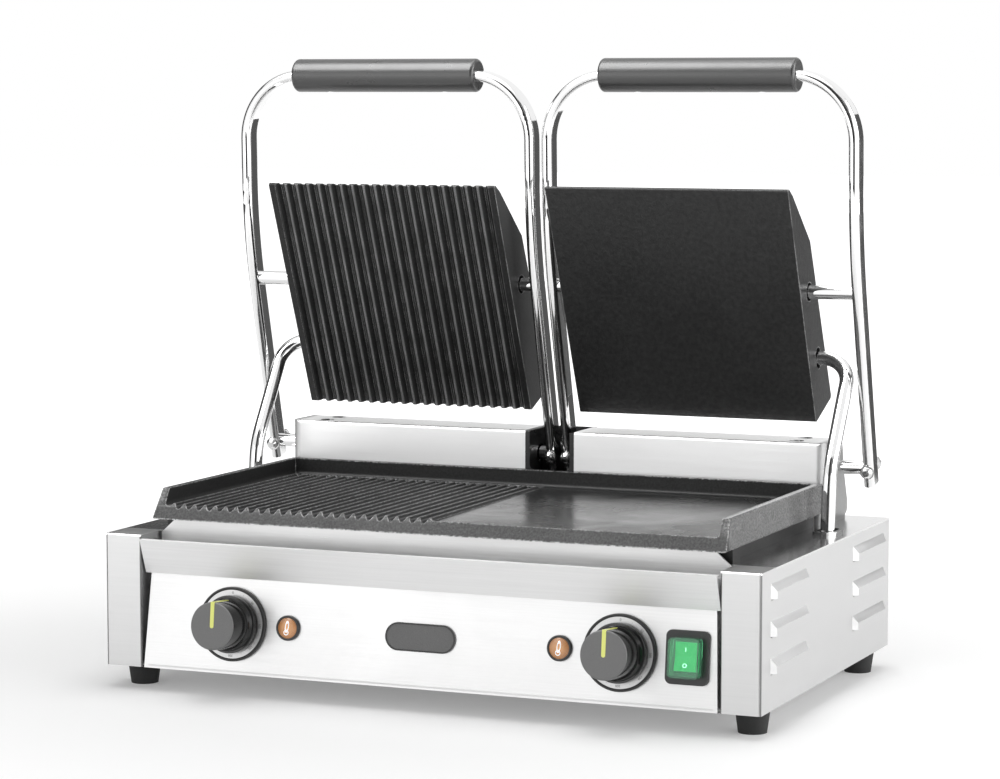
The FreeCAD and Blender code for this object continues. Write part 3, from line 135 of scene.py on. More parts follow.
def relief_of(tree, height, strength, distance):
    """Normal of a surface that a height rises from."""
    return add(tree, "Bump", Strength=strength, Distance=distance, Height=height).outputs[0]


def place_on(tree):
    """Where a point of the surface lies."""
    return add(tree, "TexCoord").outputs["Object"]


def facing(tree):
    """Direction that the surface looks in."""
    return add(tree, "NewGeometry").outputs["Normal"]


def parts_of(tree, vector):
    """The x, y and z of a vector."""
    return tuple(add(tree, "SeparateXYZ", vector).outputs)


def squared_reach(tree, across, up):
    """Square of the distance that steps across and up lead to."""
    return math_node(tree, "ADD", times(tree, across, across), times(tree, up, up))


def new_group(name, inputs, outputs):
    """Empty shader node group with named sockets."""
    group = bpy.data.node_groups.new(name, "ShaderNodeTree")
    for socket, kind, value in inputs:
        made = group.interface.new_socket(name=socket, in_out="INPUT",
                                          socket_type="NodeSocket" + kind)
        made.default_value = value
    for socket, kind in outputs:
        group.interface.new_socket(name=socket, in_out="OUTPUT",
                                   socket_type="NodeSocket" + kind)
    return group, group.nodes.new("NodeGroupInput"), group.nodes.new("NodeGroupOutput")


def grain_group():
    """Noise stretched along the work, as brushing lines or casting grain, with its relief."""
    tree, given, result = new_group(
        "surface_grain",
        [("Stretch", "Vector", (500.0, 500.0, 500.0)), ("Detail", "Float", 3.0),
         ("Depth", "Float", 0.1), ("Distance", "Float", 0.1 * MM)],
        [("Value", "Float"), ("Normal", "Vector")])
    stretched = vector_node(tree, "MULTIPLY", place_on(tree), given.outputs["Stretch"])
    noise = add(tree, "TexNoise", Vector=stretched, Scale=1.0, Detail=given.outputs["Detail"],
                Roughness=0.6).outputs[0]
    normal = relief_of(tree, noise, given.outputs["Depth"], given.outputs["Distance"])
    feed(tree, result, Value=noise, Normal=normal)
    return tree


def edge_group():
    """Mask of the edges, where handling has rubbed the finish, and where steel and the lower plate's rib crests
    take a painted highlight.
    """
    tree, given, result = new_group(
        "edge_wear_and_highlight", [("Radius", "Float", 0.8 * MM), ("Breakup", "Float", 400.0)],
        [("Mask", "Float")])
    rounded = add(tree, "Bevel", given.outputs["Radius"],
                  settings={"samples": BEVEL_SAMPLES}).outputs[0]
    alike = vector_node(tree, "DOT_PRODUCT", rounded, facing(tree), output="Value")
    patches = add(tree, "TexNoise", Vector=place_on(tree), Scale=given.outputs["Breakup"],
                  Detail=2.0).outputs[0]
    edge = remap(tree, alike, *EDGE_LIKENESS)
    kept = remap(tree, patches, *EDGE_PATCHES, LEAST_WEAR, 1.0)
    feed(tree, result, Mask=times(tree, edge, kept))
    return tree


def smudge_group():
    """Slow, cloudy change over a surface, such as handling marks or uneven polish."""
    tree, given, result = new_group(
        "smudges", [("Scale", "Float", 9.0), ("Low", "Float", 0.0), ("High", "Float", 1.0)],
        [("Value", "Float")])
    cloud = add(tree, "TexNoise", Vector=place_on(tree), Scale=given.outputs["Scale"],
                Detail=4.0, Distortion=0.6).outputs[0]
    feed(tree, result, Value=spread(tree, cloud, given.outputs["Low"], given.outputs["High"]))
    return tree


GROUPS = {"grain": grain_group(), "edge": edge_group(), "smudge": smudge_group()}


def place_group(tree, name, **values):
    """Node of one of the shared groups."""
    made = tree.nodes.new("ShaderNodeGroup")
    made.node_tree = GROUPS[name]
    feed(tree, made, **values)
    return made


def even_grain(tree, pebbles, depth, distance, **values):
    """Grain with as many pebbles to the metre in every direction."""
    return place_group(tree, "grain", Stretch=(pebbles,) * 3, Depth=depth, Distance=distance,
                       **values)


def paler(colour, gain, lift):
    """Colour with more light in it, no brighter than white."""
    return tuple(min(1.0, level * gain + lift) for level in colour[:3]) + (1.0,)


def new_finish(name, **values):
    """New material: its tree and its Principled shader with plain values set."""
    material = bpy.data.materials.new(name)
    material.use_nodes = True
    tree = material.node_tree
    shader = tree.nodes["Principled BSDF"]
    feed(tree, shader, **values)
    return material, tree, shader


def grey(level):
    """Neutral colour."""
    return (level, level, level, 1.0)


# ---------------------------------------------------------------- places on the object
X_AXIS = Vector((1, 0, 0))
Z_AXIS = Vector((0, 0, 1))
PROBE_START = 0.2               # how far out of the fascia the search for a surface starts

knob_joint = next(joint for joint in frame["joints"] if joint["name"] == "knob_right_turn")
outward = Vector(knob_joint["axis"])
fascia_origin = Vector(knob_joint["pos_m"])
fascia_turn = math.pi / 2 - math.asin(outward.z)
fascia_frame = Matrix.Translation((0, fascia_origin.y, fascia_origin.z)) @ Matrix.Rotation(
    fascia_turn, 4, "X")


def middle(node):
    """Centre of a node's box."""
    low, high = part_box(node)
    return (low + high) / 2


def out_of_fascia(node):
    """How far a node reaches out of the fascia."""
    corners = [vertex.co for vertex in nodes[node].data.vertices]
    return max((corner - fascia_origin).dot(outward) for corner in corners)


def surface_at(node, across, up, clear=0.02 * MM):
    """Frame on a node's outermost surface in front of a point of the fascia."""
    tree = BVHTree.FromObject(nodes[node], bpy.context.evaluated_depsgraph_get())
    start = fascia_frame @ Vector((across, up, PROBE_START))
    point, normal = tree.ray_cast(start, -outward)[:2]
    rise = normal.cross(X_AXIS)
    axes = Matrix((X_AXIS, rise, normal)).transposed().to_4x4()
    return Matrix.Translation(point + normal * clear) @ axes


def fascia_parts(tree):
    """Sideways and upwards along the fascia, and out of it."""
    local = add(tree, "Mapping", place_on(tree), (0.0, fascia_origin.y, fascia_origin.z),
                (fascia_turn, 0.0, 0.0), settings={"vector_type": "TEXTURE"}).outputs[0]
    return parts_of(tree, local)


def from_centre(tree, sideways, centre_x):
    """Step across from the centre of either of a mirrored pair of controls."""
    return math_node(tree, "SUBTRACT", math_node(tree, "ABSOLUTE", sideways), centre_x)


def rings_round(tree, centre_x, fineness):
    """Distance from the centre of either of a pair of controls, and a wave that rings it."""
    sideways, up, _ = fascia_parts(tree)
    across = from_centre(tree, sideways, centre_x)
    radius = math_node(tree, "SQRT", squared_reach(tree, across, up))
    return radius, math_node(tree, "SINE", times(tree, radius, fineness))


KNOB_X = fascia_origin.x
POINTER_RISE = 0.35 * MM        # how far the pointer stands up from the knob's face
KNOB_FACE_OUT = out_of_fascia("knob_right") - POINTER_RISE
KNOB_FACE_EDGE = (1.2 * MM, 0.6 * MM)   # below the face: its satin begins, and is full
KNOB_SKIRT_OUT = 12.75 * MM     # the pointer is coloured from here outwards
POINTER_HALF = 1.66 * MM        # half the width of the pointer's colour
DIAL_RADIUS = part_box("dials")[1].x - KNOB_X
DIAL_RIM = 2.3 * MM             # width of the black rim
BADGE_OUT = out_of_fascia("badge_plate")
BADGE_EDGE_DEPTHS = (0.35 * MM, 0.15 * MM)      # below the raised edge: it begins, it is full
LENS_LOW, LENS_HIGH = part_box("lamp_lenses")
LENS_RADIUS = (LENS_HIGH.z - LENS_LOW.z) / 2
LAMP_X = LENS_HIGH.x - LENS_RADIUS
SWITCH_X = middle("switch_rocker").x

PLATE_LOW, PLATE_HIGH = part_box("lower_plate")
PLATE_WALL_FOOT = PLATE_HIGH.z - 25.0 * MM      # below it nothing is worn or coarse
PLATE_RIB_REACH = PLATE_HIGH.z - 14.0 * MM      # crests of its ribs
RIBS_LOW, RIBS_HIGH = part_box("upper_plate_left")
RIB_EDGE = 6.5 * MM             # flat border beside the upper plate's ribs
COOKING_FACE = max(nodes["upper_plate_right"].data.polygons,
                   key=lambda face: face.area).normal.copy()
RIB_REACH = max(vertex.co.dot(COOKING_FACE)
                for vertex in nodes["upper_plate_left"].data.vertices)


# ---------------------------------------------------------------- masks
# A pair gives where a mask begins and where it is full.
COVER_BEND = (9.0 * MM, 2.0 * MM)       # in from a hinge cover's outer end
FLANK_RISES = (0.08, 0.2)               # upward part of the normal
TOP_RISE = 0.8                          # upward part of the normal of a face that is no flank
BEND_TURNS = (0.12, 0.3)                # sideways part of the normal times its forward part
BEND_DEPTHS = (5.0 * MM, 4.0 * MM)      # back from a side panel's front
PLATE_ENDS = (8.0 * MM, 5.0 * MM)       # in from the lower plate's ends
PLATE_FRONT = (9.5 * MM, 6.5 * MM)      # back from its front
LEVEL_RISE = 0.93                       # upward part of the normal of a level face
CREST_DEPTHS = (1.3 * MM, 0.1 * MM)     # down from the crests of the ribs
CREST_SLACK = 0.3 * MM                  # how far above the crests a point still counts


def outer_end_shade(tree, cover):
    """Mask of the bend at a hinge cover's outer end, where painted shade darkens it."""
    low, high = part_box(cover)
    outer = max(-low.x, high.x)
    from_middle = math_node(tree, "ABSOLUTE", parts_of(tree, place_on(tree))[0])
    return up_to(tree, from_middle, outer, *COVER_BEND)


def inner_faces(tree, cover):
    """Mask of the faces of a boxlike shell that look at its middle."""
    from_middle = vector_node(tree, "SUBTRACT", place_on(tree), middle(cover))
    apart = vector_node(tree, "DOT_PRODUCT", from_middle, facing(tree), output="Value")
    return math_node(tree, "LESS_THAN", apart, 0.0)


def louvre_flank_highlight(tree):
    """Mask of the louvres' sloping flanks, where a painted highlight makes them brighter than the face."""
    rise = parts_of(tree, facing(tree))[2]
    below_top = math_node(tree, "LESS_THAN", rise, TOP_RISE)
    return times(tree, remap(tree, rise, *FLANK_RISES), below_top)


def bend_shade_mask(tree):
    """Mask of each side panel's front bend, where painted shade darkens the steel."""
    sideways, forwards, _ = parts_of(tree, facing(tree))
    turned = math_node(tree, "ABSOLUTE", times(tree, sideways, forwards))
    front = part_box("side_panel_right")[0].y
    near = down_to(tree, parts_of(tree, place_on(tree))[1], front, *BEND_DEPTHS)
    return times(tree, remap(tree, turned, *BEND_TURNS), near)


def outer_faces(tree):
    """Masks of the lower plate's outer faces: first all, then its open front edge alone."""
    across, back, height = parts_of(tree, place_on(tree))
    ends = up_to(tree, math_node(tree, "ABSOLUTE", across), PLATE_HIGH.x, *PLATE_ENDS)
    front = down_to(tree, back, PLATE_LOW.y, *PLATE_FRONT)
    wall = math_node(tree, "GREATER_THAN", height, PLATE_WALL_FOOT)
    return (times(tree, math_node(tree, "MAXIMUM", ends, front), wall),
            times(tree, front, wall))


def smooth_half(tree):
    """Mask of the lower plate's smooth cooking face, ground finer than the ribs."""
    right = math_node(tree, "GREATER_THAN", parts_of(tree, place_on(tree))[0], 0.0)
    level = math_node(tree, "GREATER_THAN", parts_of(tree, facing(tree))[2], LEVEL_RISE)
    return times(tree, right, level)


def rib_heights(tree, looking, reach, left, right):
    """How far up the ribs between two ends a point lies: 0 in the grooves, 1 on the crests."""
    place = place_on(tree)
    height = vector_node(tree, "DOT_PRODUCT", place, looking, output="Value")
    crest_highlight = up_to(tree, height, reach, *CREST_DEPTHS)
    across = parts_of(tree, place)[0]
    within = times(tree, math_node(tree, "GREATER_THAN", across, left),
                   math_node(tree, "LESS_THAN", across, right))
    level = math_node(tree, "LESS_THAN", height, reach + CREST_SLACK)
    return times(tree, crest_highlight, times(tree, within, level))


# ---------------------------------------------------------------- finishes
BRUSHED_ALONG_X = (9.0, 520.0, 520.0)   # few changes along the brushing lines, many across
BRUSHED_LEVEL = (9.0, 9.0, 520.0)
STEEL_WEAR_AND_HIGHLIGHT, WORN_HIGHLIT_STEEL = 0.25, 0.85     # how far an edge goes paler, as wear and as a painted highlight, and the tone it goes to
LINE_ROUGHNESS = (-0.05, 0.06)          # from the smoothest to the roughest brushing lines
POLISH_ROUGHNESS = (-0.02, 0.05)        # from the brightest to the dullest patches
FLANK_HIGHLIGHT_TONE = 0.94                       # painted highlight on the louvres' sloping flanks
# tone of the painted shade on a hinge cover's inner faces
COVER_INSIDE_SHADE = 0.12
COVER_END_SHADE = 0.42                        # share of its tone that a hinge cover keeps in the painted shade at its outer bend

PEBBLE_RISE = 0.11                      # height of the iron's pebbles to their width
CHIP_NOISE, SPECK_NOISE = (0.36, 0.56), (0.35, 0.75)    # between these they grow
# the crests' tone is a painted highlight along the ribs
DARK_SPECK, PALE_SPECK, CREST_HIGHLIGHT_TONE = 0.6, 1.7, 6.5      # times the enamel's tone
GROOVE_GLOSS, CREST_GLOSS = 0.34, 0.85
GROUND_GLOSS = 0.3                      # added on the lower plate's smooth half
LIT_WALL_TONES, LIT_FRONT_TONES = (0.04, 0.3), (0.01, 0.085)    # of the lower plate's outer walls and open front, paler than the enamel as painted light
GROUND_FINER, WALL_GLOSSIER = 0.2, 0.17 # taken off the roughness
GROUND_GRAIN = 0.16                     # depth of the grain on the smooth half
WALL_GRAIN = 0.35                       # added to it on the outer faces
PAINT_NOISE = (0.3, 0.75)
PAINT_SPECKS, PAINT_WEAR = 0.25, 0.6    # how far specks and edges go to the paler colour

POINTER_YELLOW = (0.94, 0.97, 0.27, 1.0)
SATIN_GREYS, SKIRT_BLACKS = (0.16, 0.19), (0.008, 0.014)
BADGE_GREYS, BADGE_EDGE_BLACK = (0.11, 0.17), 0.012
DIAL_SILVERS, DIAL_RIM_BLACK = (0.5, 0.6), 0.015
DIAL_RINGS, LENS_RINGS = 24000.0, 7000.0        # radians of the rings' wave to the metre
WAVE_RANGE = (-1.0, 1.0)
LENS_CORE, LENS_RIM = (0.93, 0.42, 0.12, 1.0), (0.5, 0.16, 0.03, 1.0)
LENS_RIDGE = (0.98, 0.66, 0.36, 1.0)
HOOD_GREENS = (0.3, 0.8, 0.5, 1.0), (0.38, 0.87, 0.58, 1.0)
ROCKER_GREENS = (0.0, 0.46, 0.15, 1.0), (0.02, 0.6, 0.22, 1.0)
BRONZE = (0.6, 0.38, 0.16, 1.0)


def grey_blend(tree, factor, tones):
    """Grey between two tones."""
    return blend_colour(tree, factor, grey(tones[0]), grey(tones[1]))


def brushed_steel(name, stretch, tone=0.69, rough=0.34, relief=0.3, contrast=0.03, bend_shade=None,
                  cover=None):
    """Stainless sheet with fine brushing lines, faint handling marks, and edges made paler partly by wear and
    partly as a painted highlight.

    A side panel has a painted highlight on the flanks of its louvres, and painted shade of a given tone along its
    front bend.  A hinge cover, named in cover, has painted shade on its inner faces and painted shade that darkens
    it towards its outer end.
    """
    material, tree, shader = new_finish(name, Metallic=1.0)
    lines = place_group(tree, "grain", Stretch=stretch, Detail=4.0, Depth=relief,
                        Distance=0.1 * MM)
    clouds = place_group(tree, "smudge", Scale=7.0, Low=-0.03, High=0.05)
    edges = place_group(tree, "edge", Radius=0.9 * MM, Breakup=250.0)
    streaks = spread(tree, lines.outputs["Value"])
    sheet = grey_blend(tree, streaks, (tone - contrast, tone + contrast))
    # edges paler: partly wear, partly a painted edge highlight
    wear_and_highlight = times(tree, edges.outputs["Mask"], STEEL_WEAR_AND_HIGHLIGHT)
    sheet = blend_colour(tree, wear_and_highlight, sheet, grey(WORN_HIGHLIT_STEEL))
    if bend_shade:
        # painted highlight on the louvres' flanks
        sheet = blend_colour(tree, louvre_flank_highlight(tree), sheet, grey(FLANK_HIGHLIGHT_TONE))
        # painted shade along the side panel's front bend
        sheet = blend_colour(tree, bend_shade_mask(tree), sheet, grey(bend_shade))
    if cover:
        # painted shade darkening the cover towards its outer end
        sheet = blend_colour(tree, outer_end_shade(tree, cover), sheet, grey(tone * COVER_END_SHADE))
        # painted shade on the cover's inner faces
        sheet = blend_colour(tree, inner_faces(tree, cover), sheet, grey(COVER_INSIDE_SHADE))
    smoothest, roughest = (rough + change for change in LINE_ROUGHNESS)
    rough_lines = spread(tree, lines.outputs["Value"], smoothest, roughest)
    feed(tree, shader, Base_Color=sheet, Normal=lines.outputs["Normal"],
         Roughness=math_node(tree, "ADD", rough_lines, clouds.outputs["Value"]))
    return material


def polished_steel(name, tone=0.86, rough=0.045, contrast=0.03):
    """Polished bar and tube with fine hairlines and a few duller patches."""
    material, tree, shader = new_finish(name, Metallic=1.0)
    hairs = place_group(tree, "grain", Stretch=(1400.0, 1400.0, 60.0), Detail=2.0, Depth=0.02,
                        Distance=0.01 * MM)
    brightest, dullest = (rough + change for change in POLISH_ROUGHNESS)
    clouds = place_group(tree, "smudge", Scale=38.0, Low=brightest, High=dullest)
    tint = spread(tree, hairs.outputs["Value"])
    feed(tree, shader, Base_Color=grey_blend(tree, tint, (tone - contrast, tone + contrast)),
         Roughness=clouds.outputs["Value"], Normal=hairs.outputs["Normal"])
    return material


def plated_steel(name, tones=(0.82, 0.6), rough=(0.12, 0.3)):
    """Zinc-plated fasteners, a little milky, and darker where they are rougher."""
    material, tree, shader = new_finish(name, Metallic=1.0)
    clouds = place_group(tree, "smudge", Scale=260.0, Low=rough[0], High=rough[1])
    frost = even_grain(tree, pebbles=900.0, depth=0.08, distance=0.04 * MM)
    tint = remap(tree, clouds.outputs["Value"], *rough)
    feed(tree, shader, Base_Color=grey_blend(tree, tint, tones),
         Roughness=clouds.outputs["Value"], Normal=frost.outputs["Normal"])
    return material


def cast_iron(name, rough=0.44, tone=0.017, grain=0.5, pebbles=620.0, bare=0.55, lower=False,
              ribs=None):
    """Black enamelled iron: sand-cast grain, cloudy sheen and bare metal along its edges.

    The grain has as many pebbles to the metre as pebbles says.  The enamel of a ribbed plate is
    painted paler on the crests as a highlight, and made glossier there; ribs gives the direction
    they look in, how far they reach, and the left and right end of the ribbed field.  The lower
    plate also has coarser outer walls, painted paler than the enamel as lit faces, and a smooth half that is
    ground finer.
    """
    material, tree, shader = new_finish(name)
    sand = even_grain(tree, pebbles, grain, PEBBLE_RISE / pebbles, Detail=5.0)
    clouds = place_group(tree, "smudge", Scale=16.0, Low=-0.05, High=0.07)
    edges = place_group(tree, "edge", Radius=2.0 * MM if lower else 1.5 * MM,
                        Breakup=330.0 if lower else 50.0)
    least_chip = 0.0 if lower else 0.5
    chips = remap(tree, sand.outputs["Value"], *CHIP_NOISE, least_chip, 1.0)
    wear_and_highlight = times(tree, edges.outputs["Mask"], chips)
    specks = remap(tree, sand.outputs["Value"], *SPECK_NOISE)
    enamel = grey_blend(tree, specks, (tone * DARK_SPECK, tone * PALE_SPECK))
    sheen = math_node(tree, "ADD", clouds.outputs["Value"], rough)
    if ribs:
        crest_highlight = rib_heights(tree, *ribs)
        # painted highlight along the ribs' crests
        enamel = blend_colour(tree, crest_highlight, enamel, grey(tone * CREST_HIGHLIGHT_TONE))
        gloss = between(tree, crest_highlight, GROOVE_GLOSS, CREST_GLOSS)
    if lower:
        outer, front = outer_faces(tree)
        # painted light: outer walls and open front edge paler than the enamel
        enamel = blend_colour(tree, outer, enamel, grey_blend(tree, specks, LIT_WALL_TONES))
        enamel = blend_colour(tree, front, enamel, grey_blend(tree, specks, LIT_FRONT_TONES))
        ground = smooth_half(tree)
        height = parts_of(tree, place_on(tree))[2]
        wear_and_highlight = times(tree, wear_and_highlight, math_node(tree, "GREATER_THAN", height, PLATE_WALL_FOOT))
        finer = times(tree, ground, GROUND_FINER)
        glossier = times(tree, math_node(tree, "SUBTRACT", outer, front), WALL_GLOSSIER)
        sheen = math_node(tree, "SUBTRACT", sheen, math_node(tree, "ADD", finer, glossier))
        gloss = math_node(tree, "ADD", gloss, times(tree, ground, GROUND_GLOSS))
        relief = math_node(tree, "SUBTRACT", times(tree, outer, WALL_GRAIN),
                           times(tree, ground, grain - GROUND_GRAIN))
        feed(tree, sand, Depth=math_node(tree, "ADD", relief, grain))
    if ribs:
        feed(tree, shader, Specular_IOR_Level=gloss)
    feed(tree, shader, Base_Color=blend_colour(tree, wear_and_highlight, enamel, grey(bare)),
         Roughness=sheen, Normal=sand.outputs["Normal"])
    return material


def painted(name, rough, tone=None, colour=None, grain=0.12, **values):
    """Painted or moulded surface with a fine skin, cloudy sheen and paler edges."""
    material, tree, shader = new_finish(name, **values)
    skin = even_grain(tree, pebbles=1100.0, depth=grain, distance=0.05 * MM)
    clouds = place_group(tree, "smudge", Scale=45.0, Low=-0.02, High=0.03)
    edges = place_group(tree, "edge", Radius=0.5 * MM, Breakup=500.0)
    dark = colour or grey(tone)
    pale = paler(dark, gain=1.9, lift=0.01)
    wear_and_highlight = times(tree, edges.outputs["Mask"], PAINT_WEAR)
    specks = remap(tree, skin.outputs["Value"], *PAINT_NOISE, to_high=PAINT_SPECKS)
    speckled = blend_colour(tree, specks, dark, pale)
    feed(tree, shader, Base_Color=blend_colour(tree, wear_and_highlight, speckled, pale),
         Roughness=math_node(tree, "ADD", clouds.outputs["Value"], rough),
         Normal=skin.outputs["Normal"])
    return material


def knob_finish():
    """Satin grey face, glossy black skirt and a yellow-green pointer line."""
    material, tree, shader = new_finish("knob_plastic")
    sideways, up, out = fascia_parts(tree)
    across = from_centre(tree, sideways, KNOB_X)
    face = up_to(tree, out, KNOB_FACE_OUT, *KNOB_FACE_EDGE)
    below = math_node(tree, "MINIMUM", up, 0.0)
    near = math_node(tree, "LESS_THAN", squared_reach(tree, across, below), POINTER_HALF ** 2)
    pointer = times(tree, near, math_node(tree, "GREATER_THAN", out, KNOB_SKIRT_OUT))
    skin = even_grain(tree, pebbles=1500.0, depth=0.1, distance=0.04 * MM)
    clouds = place_group(tree, "smudge", Scale=60.0, Low=-0.03, High=0.05)
    specks = spread(tree, skin.outputs["Value"])
    body = blend_colour(tree, face, grey_blend(tree, specks, SKIRT_BLACKS),
                        grey_blend(tree, specks, SATIN_GREYS))
    sheen = between(tree, face, at_none=0.09, at_full=0.42)
    feed(tree, shader, Base_Color=blend_colour(tree, pointer, body, POINTER_YELLOW),
         Roughness=math_node(tree, "ADD", sheen, clouds.outputs["Value"]),
         Normal=skin.outputs["Normal"])
    return material


def badge_finish():
    """Bare badge: a fine-grained grey field inside a glossy black edge."""
    material, tree, shader = new_finish("badge_metal_field")
    edge = up_to(tree, fascia_parts(tree)[2], BADGE_OUT, *BADGE_EDGE_DEPTHS)
    grain = even_grain(tree, pebbles=1900.0, depth=0.15, distance=0.04 * MM)
    clouds = place_group(tree, "smudge", Scale=90.0, Low=-0.04, High=0.05)
    field = grey_blend(tree, spread(tree, grain.outputs["Value"]), BADGE_GREYS)
    sheen = between(tree, edge, at_none=0.45, at_full=0.25)
    feed(tree, shader, Base_Color=blend_colour(tree, edge, field, grey(BADGE_EDGE_BLACK)),
         Roughness=math_node(tree, "ADD", clouds.outputs["Value"], sheen),
         Normal=grain.outputs["Normal"])
    return material


def dial_finish():
    """Silver scale with finely turned rings, inside a glossy black rim."""
    material, tree, shader = new_finish("dial_metal")
    radius, rings = rings_round(tree, KNOB_X, DIAL_RINGS)
    rim = math_node(tree, "GREATER_THAN", radius, DIAL_RADIUS - DIAL_RIM)
    turned = remap(tree, rings, *WAVE_RANGE)
    silver = grey_blend(tree, turned, DIAL_SILVERS)
    feed(tree, shader, Base_Color=blend_colour(tree, rim, silver, grey(DIAL_RIM_BLACK)),
         Metallic=between(tree, rim, at_none=1.0, at_full=0.0),
         Roughness=between(tree, turned, at_none=0.34, at_full=0.42),
         Normal=relief_of(tree, rings, strength=0.06, distance=0.03 * MM))
    return material


def lens_finish():
    """Amber lens moulded with concentric rings, paler in the middle."""
    material, tree, shader = new_finish("lens_amber", Coat_Weight=0.8, Coat_Roughness=0.05,
                                        Specular_IOR_Level=0.6)
    radius, rings = rings_round(tree, LAMP_X, LENS_RINGS)
    amber = blend_colour(tree, remap(tree, radius, 0.0, LENS_RADIUS), LENS_CORE, LENS_RIM)
    ridges = remap(tree, rings, *WAVE_RANGE, to_high=0.35)
    feed(tree, shader, Base_Color=blend_colour(tree, ridges, amber, LENS_RIDGE),
         Roughness=remap(tree, rings, *WAVE_RANGE, to_low=0.14, to_high=0.3),
         Normal=relief_of(tree, rings, strength=0.35, distance=0.2 * MM))
    return material


def clear_green(roughest=0.03):
    """Soft clear-green cap over the switch."""
    material, tree, shader = new_finish("hood_green", Transmission_Weight=0.85, IOR=1.4)
    clouds = place_group(tree, "smudge", Scale=180.0, Low=0.0, High=roughest)
    tint = remap(tree, clouds.outputs["Value"], 0.0, roughest)
    feed(tree, shader, Base_Color=blend_colour(tree, tint, *HOOD_GREENS),
         Roughness=clouds.outputs["Value"])
    return material


def rocker_finish():
    """Bright green rocker with a finely moulded skin, glowing a little."""
    material, tree, shader = new_finish("rocker_green", Emission_Strength=0.55)
    skin = even_grain(tree, pebbles=1300.0, depth=0.2, distance=0.06 * MM)
    shade = spread(tree, skin.outputs["Value"])
    green = blend_colour(tree, shade, *ROCKER_GREENS)
    feed(tree, shader, Base_Color=green, Emission_Color=green,
         Roughness=between(tree, shade, at_none=0.3, at_full=0.45),
         Normal=skin.outputs["Normal"])
    return material


def ink(name, colour, glow=0.0):
    """Printed mark, slightly uneven as pad printing is."""
    material, tree, shader = new_finish(name, Emission_Strength=glow)
    skin = even_grain(tree, pebbles=2500.0, depth=0.05, distance=0.02 * MM)
    shade = remap(tree, skin.outputs["Value"], *SPECK_NOISE)
    printed = blend_colour(tree, shade, colour, paler(colour, gain=1.3, lift=0.02))
    feed(tree, shader, Base_Color=printed, Emission_Color=printed,
         Roughness=between(tree, shade, at_none=0.4, at_full=0.55))
    return material


# Painted, blackened and moulded surfaces, each by the slot it fills.
PAINTED = {
    "heater_sheath": dict(tone=0.2, rough=0.5, Metallic=0.8),
    "black_bracket": dict(tone=0.012, rough=0.28),
    "bearing_steel": dict(tone=0.2, rough=0.45),
    "bush_bronze": dict(colour=BRONZE, rough=0.3, Metallic=1.0),
    "spring_steel": dict(tone=0.22, rough=0.35, Metallic=0.9),
    "grip_plastic": dict(tone=0.034, rough=0.29, Specular_IOR_Level=0.9),
    "bezel_plastic": dict(tone=0.02, rough=0.34),
    "foot_rubber": dict(tone=0.018, rough=0.7, grain=0.3),
    "thermostat_body": dict(tone=0.55, rough=0.4, Metallic=0.8),
    "terminal_plastic": dict(tone=0.7, rough=0.5),
    "gland_plastic": dict(tone=0.03, rough=0.45),
}
FINISHES = {
    "stainless": brushed_steel("stainless", BRUSHED_ALONG_X),
    "polished_steel": polished_steel("polished_steel"),
    "grommet_metal": polished_steel("grommet_metal", tone=0.7, rough=0.14),
    "bright_steel": plated_steel("bright_steel"),
    "cast_iron": cast_iron("cast_iron"),
    "knob_plastic": knob_finish(),
    "dial_metal": dial_finish(),
    "lens_amber": lens_finish(),
    "hood_green": clear_green(),
    "rocker_green": rocker_finish(),
}
FINISHES.update({slot: painted(slot, **values) for slot, values in PAINTED.items()})

# Nodes that have a finish of their own.
PANEL_STEEL = brushed_steel("stainless_level", BRUSHED_LEVEL, tone=0.66, rough=0.33,
                            relief=0.07, contrast=0.015, bend_shade=0.2)
SPECIAL = {
    "side_panel_left": PANEL_STEEL,
    "side_panel_right": PANEL_STEEL,
    # its paler edges are bare metal, and a painted highlight along the ribs' crests
    "lower_plate": cast_iron("cast_iron_lower", bare=0.8, lower=True,
                             ribs=(Z_AXIS, PLATE_RIB_REACH, PLATE_LOW.x, 0.0)),
    "upper_plate_left": cast_iron(
        "cast_iron_ribs",
        ribs=(COOKING_FACE, RIB_REACH, RIBS_LOW.x + RIB_EDGE, RIBS_HIGH.x - RIB_EDGE)),
    "upper_plate_right": cast_iron("cast_iron_pebbled", rough=0.38, grain=0.8, pebbles=270.0),
    # Painted light: the tray's paler tone is a lit copy of the stainless.
    "drip_tray": brushed_steel("stainless_tray_lit", BRUSHED_ALONG_X, tone=0.84, rough=0.52),
    "deck_plate": brushed_steel("stainless_deck", BRUSHED_ALONG_X, rough=0.17, relief=0.12),
    "badge_plate": badge_finish(),
}
# Painted light: the hinge covers' paler tone is a lit copy of the stainless.
for side_name in SIDES:
    hinge_cover = "hinge_cover_" + side_name
    SPECIAL[hinge_cover] = brushed_steel("stainless_cover_lit_" + side_name, BRUSHED_ALONG_X,
                                         tone=0.86, rough=0.4, relief=0.1, contrast=0.012,
                                         cover=hinge_cover)


def finish_nodes():
    """Give every carried-over node its finish."""
    for part in frame["record"]["subparts"]:
        node = nodes[part["node"]]
        finish = SPECIAL.get(part["node"]) or FINISHES[part["material_slot"]]
        for slot in node.material_slots:
            slot.material = finish


# ---------------------------------------------------------------- printed marks
DARK_INK = ink("dark_ink", grey(0.03))
# the white ink glows: painted light that keeps the lamp sign bright
GLOWING_WHITE_INK = ink("glowing_white_ink", grey(0.9), glow=0.5)
LIT_INK = ink("lit_ink", (1.0, 0.86, 0.92, 1.0), glow=4.0)
INK_THICKNESS = 0.04 * MM

SCALE_MARKS = 13                # numbers and lines of a dial together
SCALE_STEP_DEGREES = 22.5       # from one to the next
SCALE_RADIUS = 25.6 * MM
NUMBER_STEP = 50
NUMBER_SIZE, LINE_SIZE = 2.8 * MM, 1.5 * MM

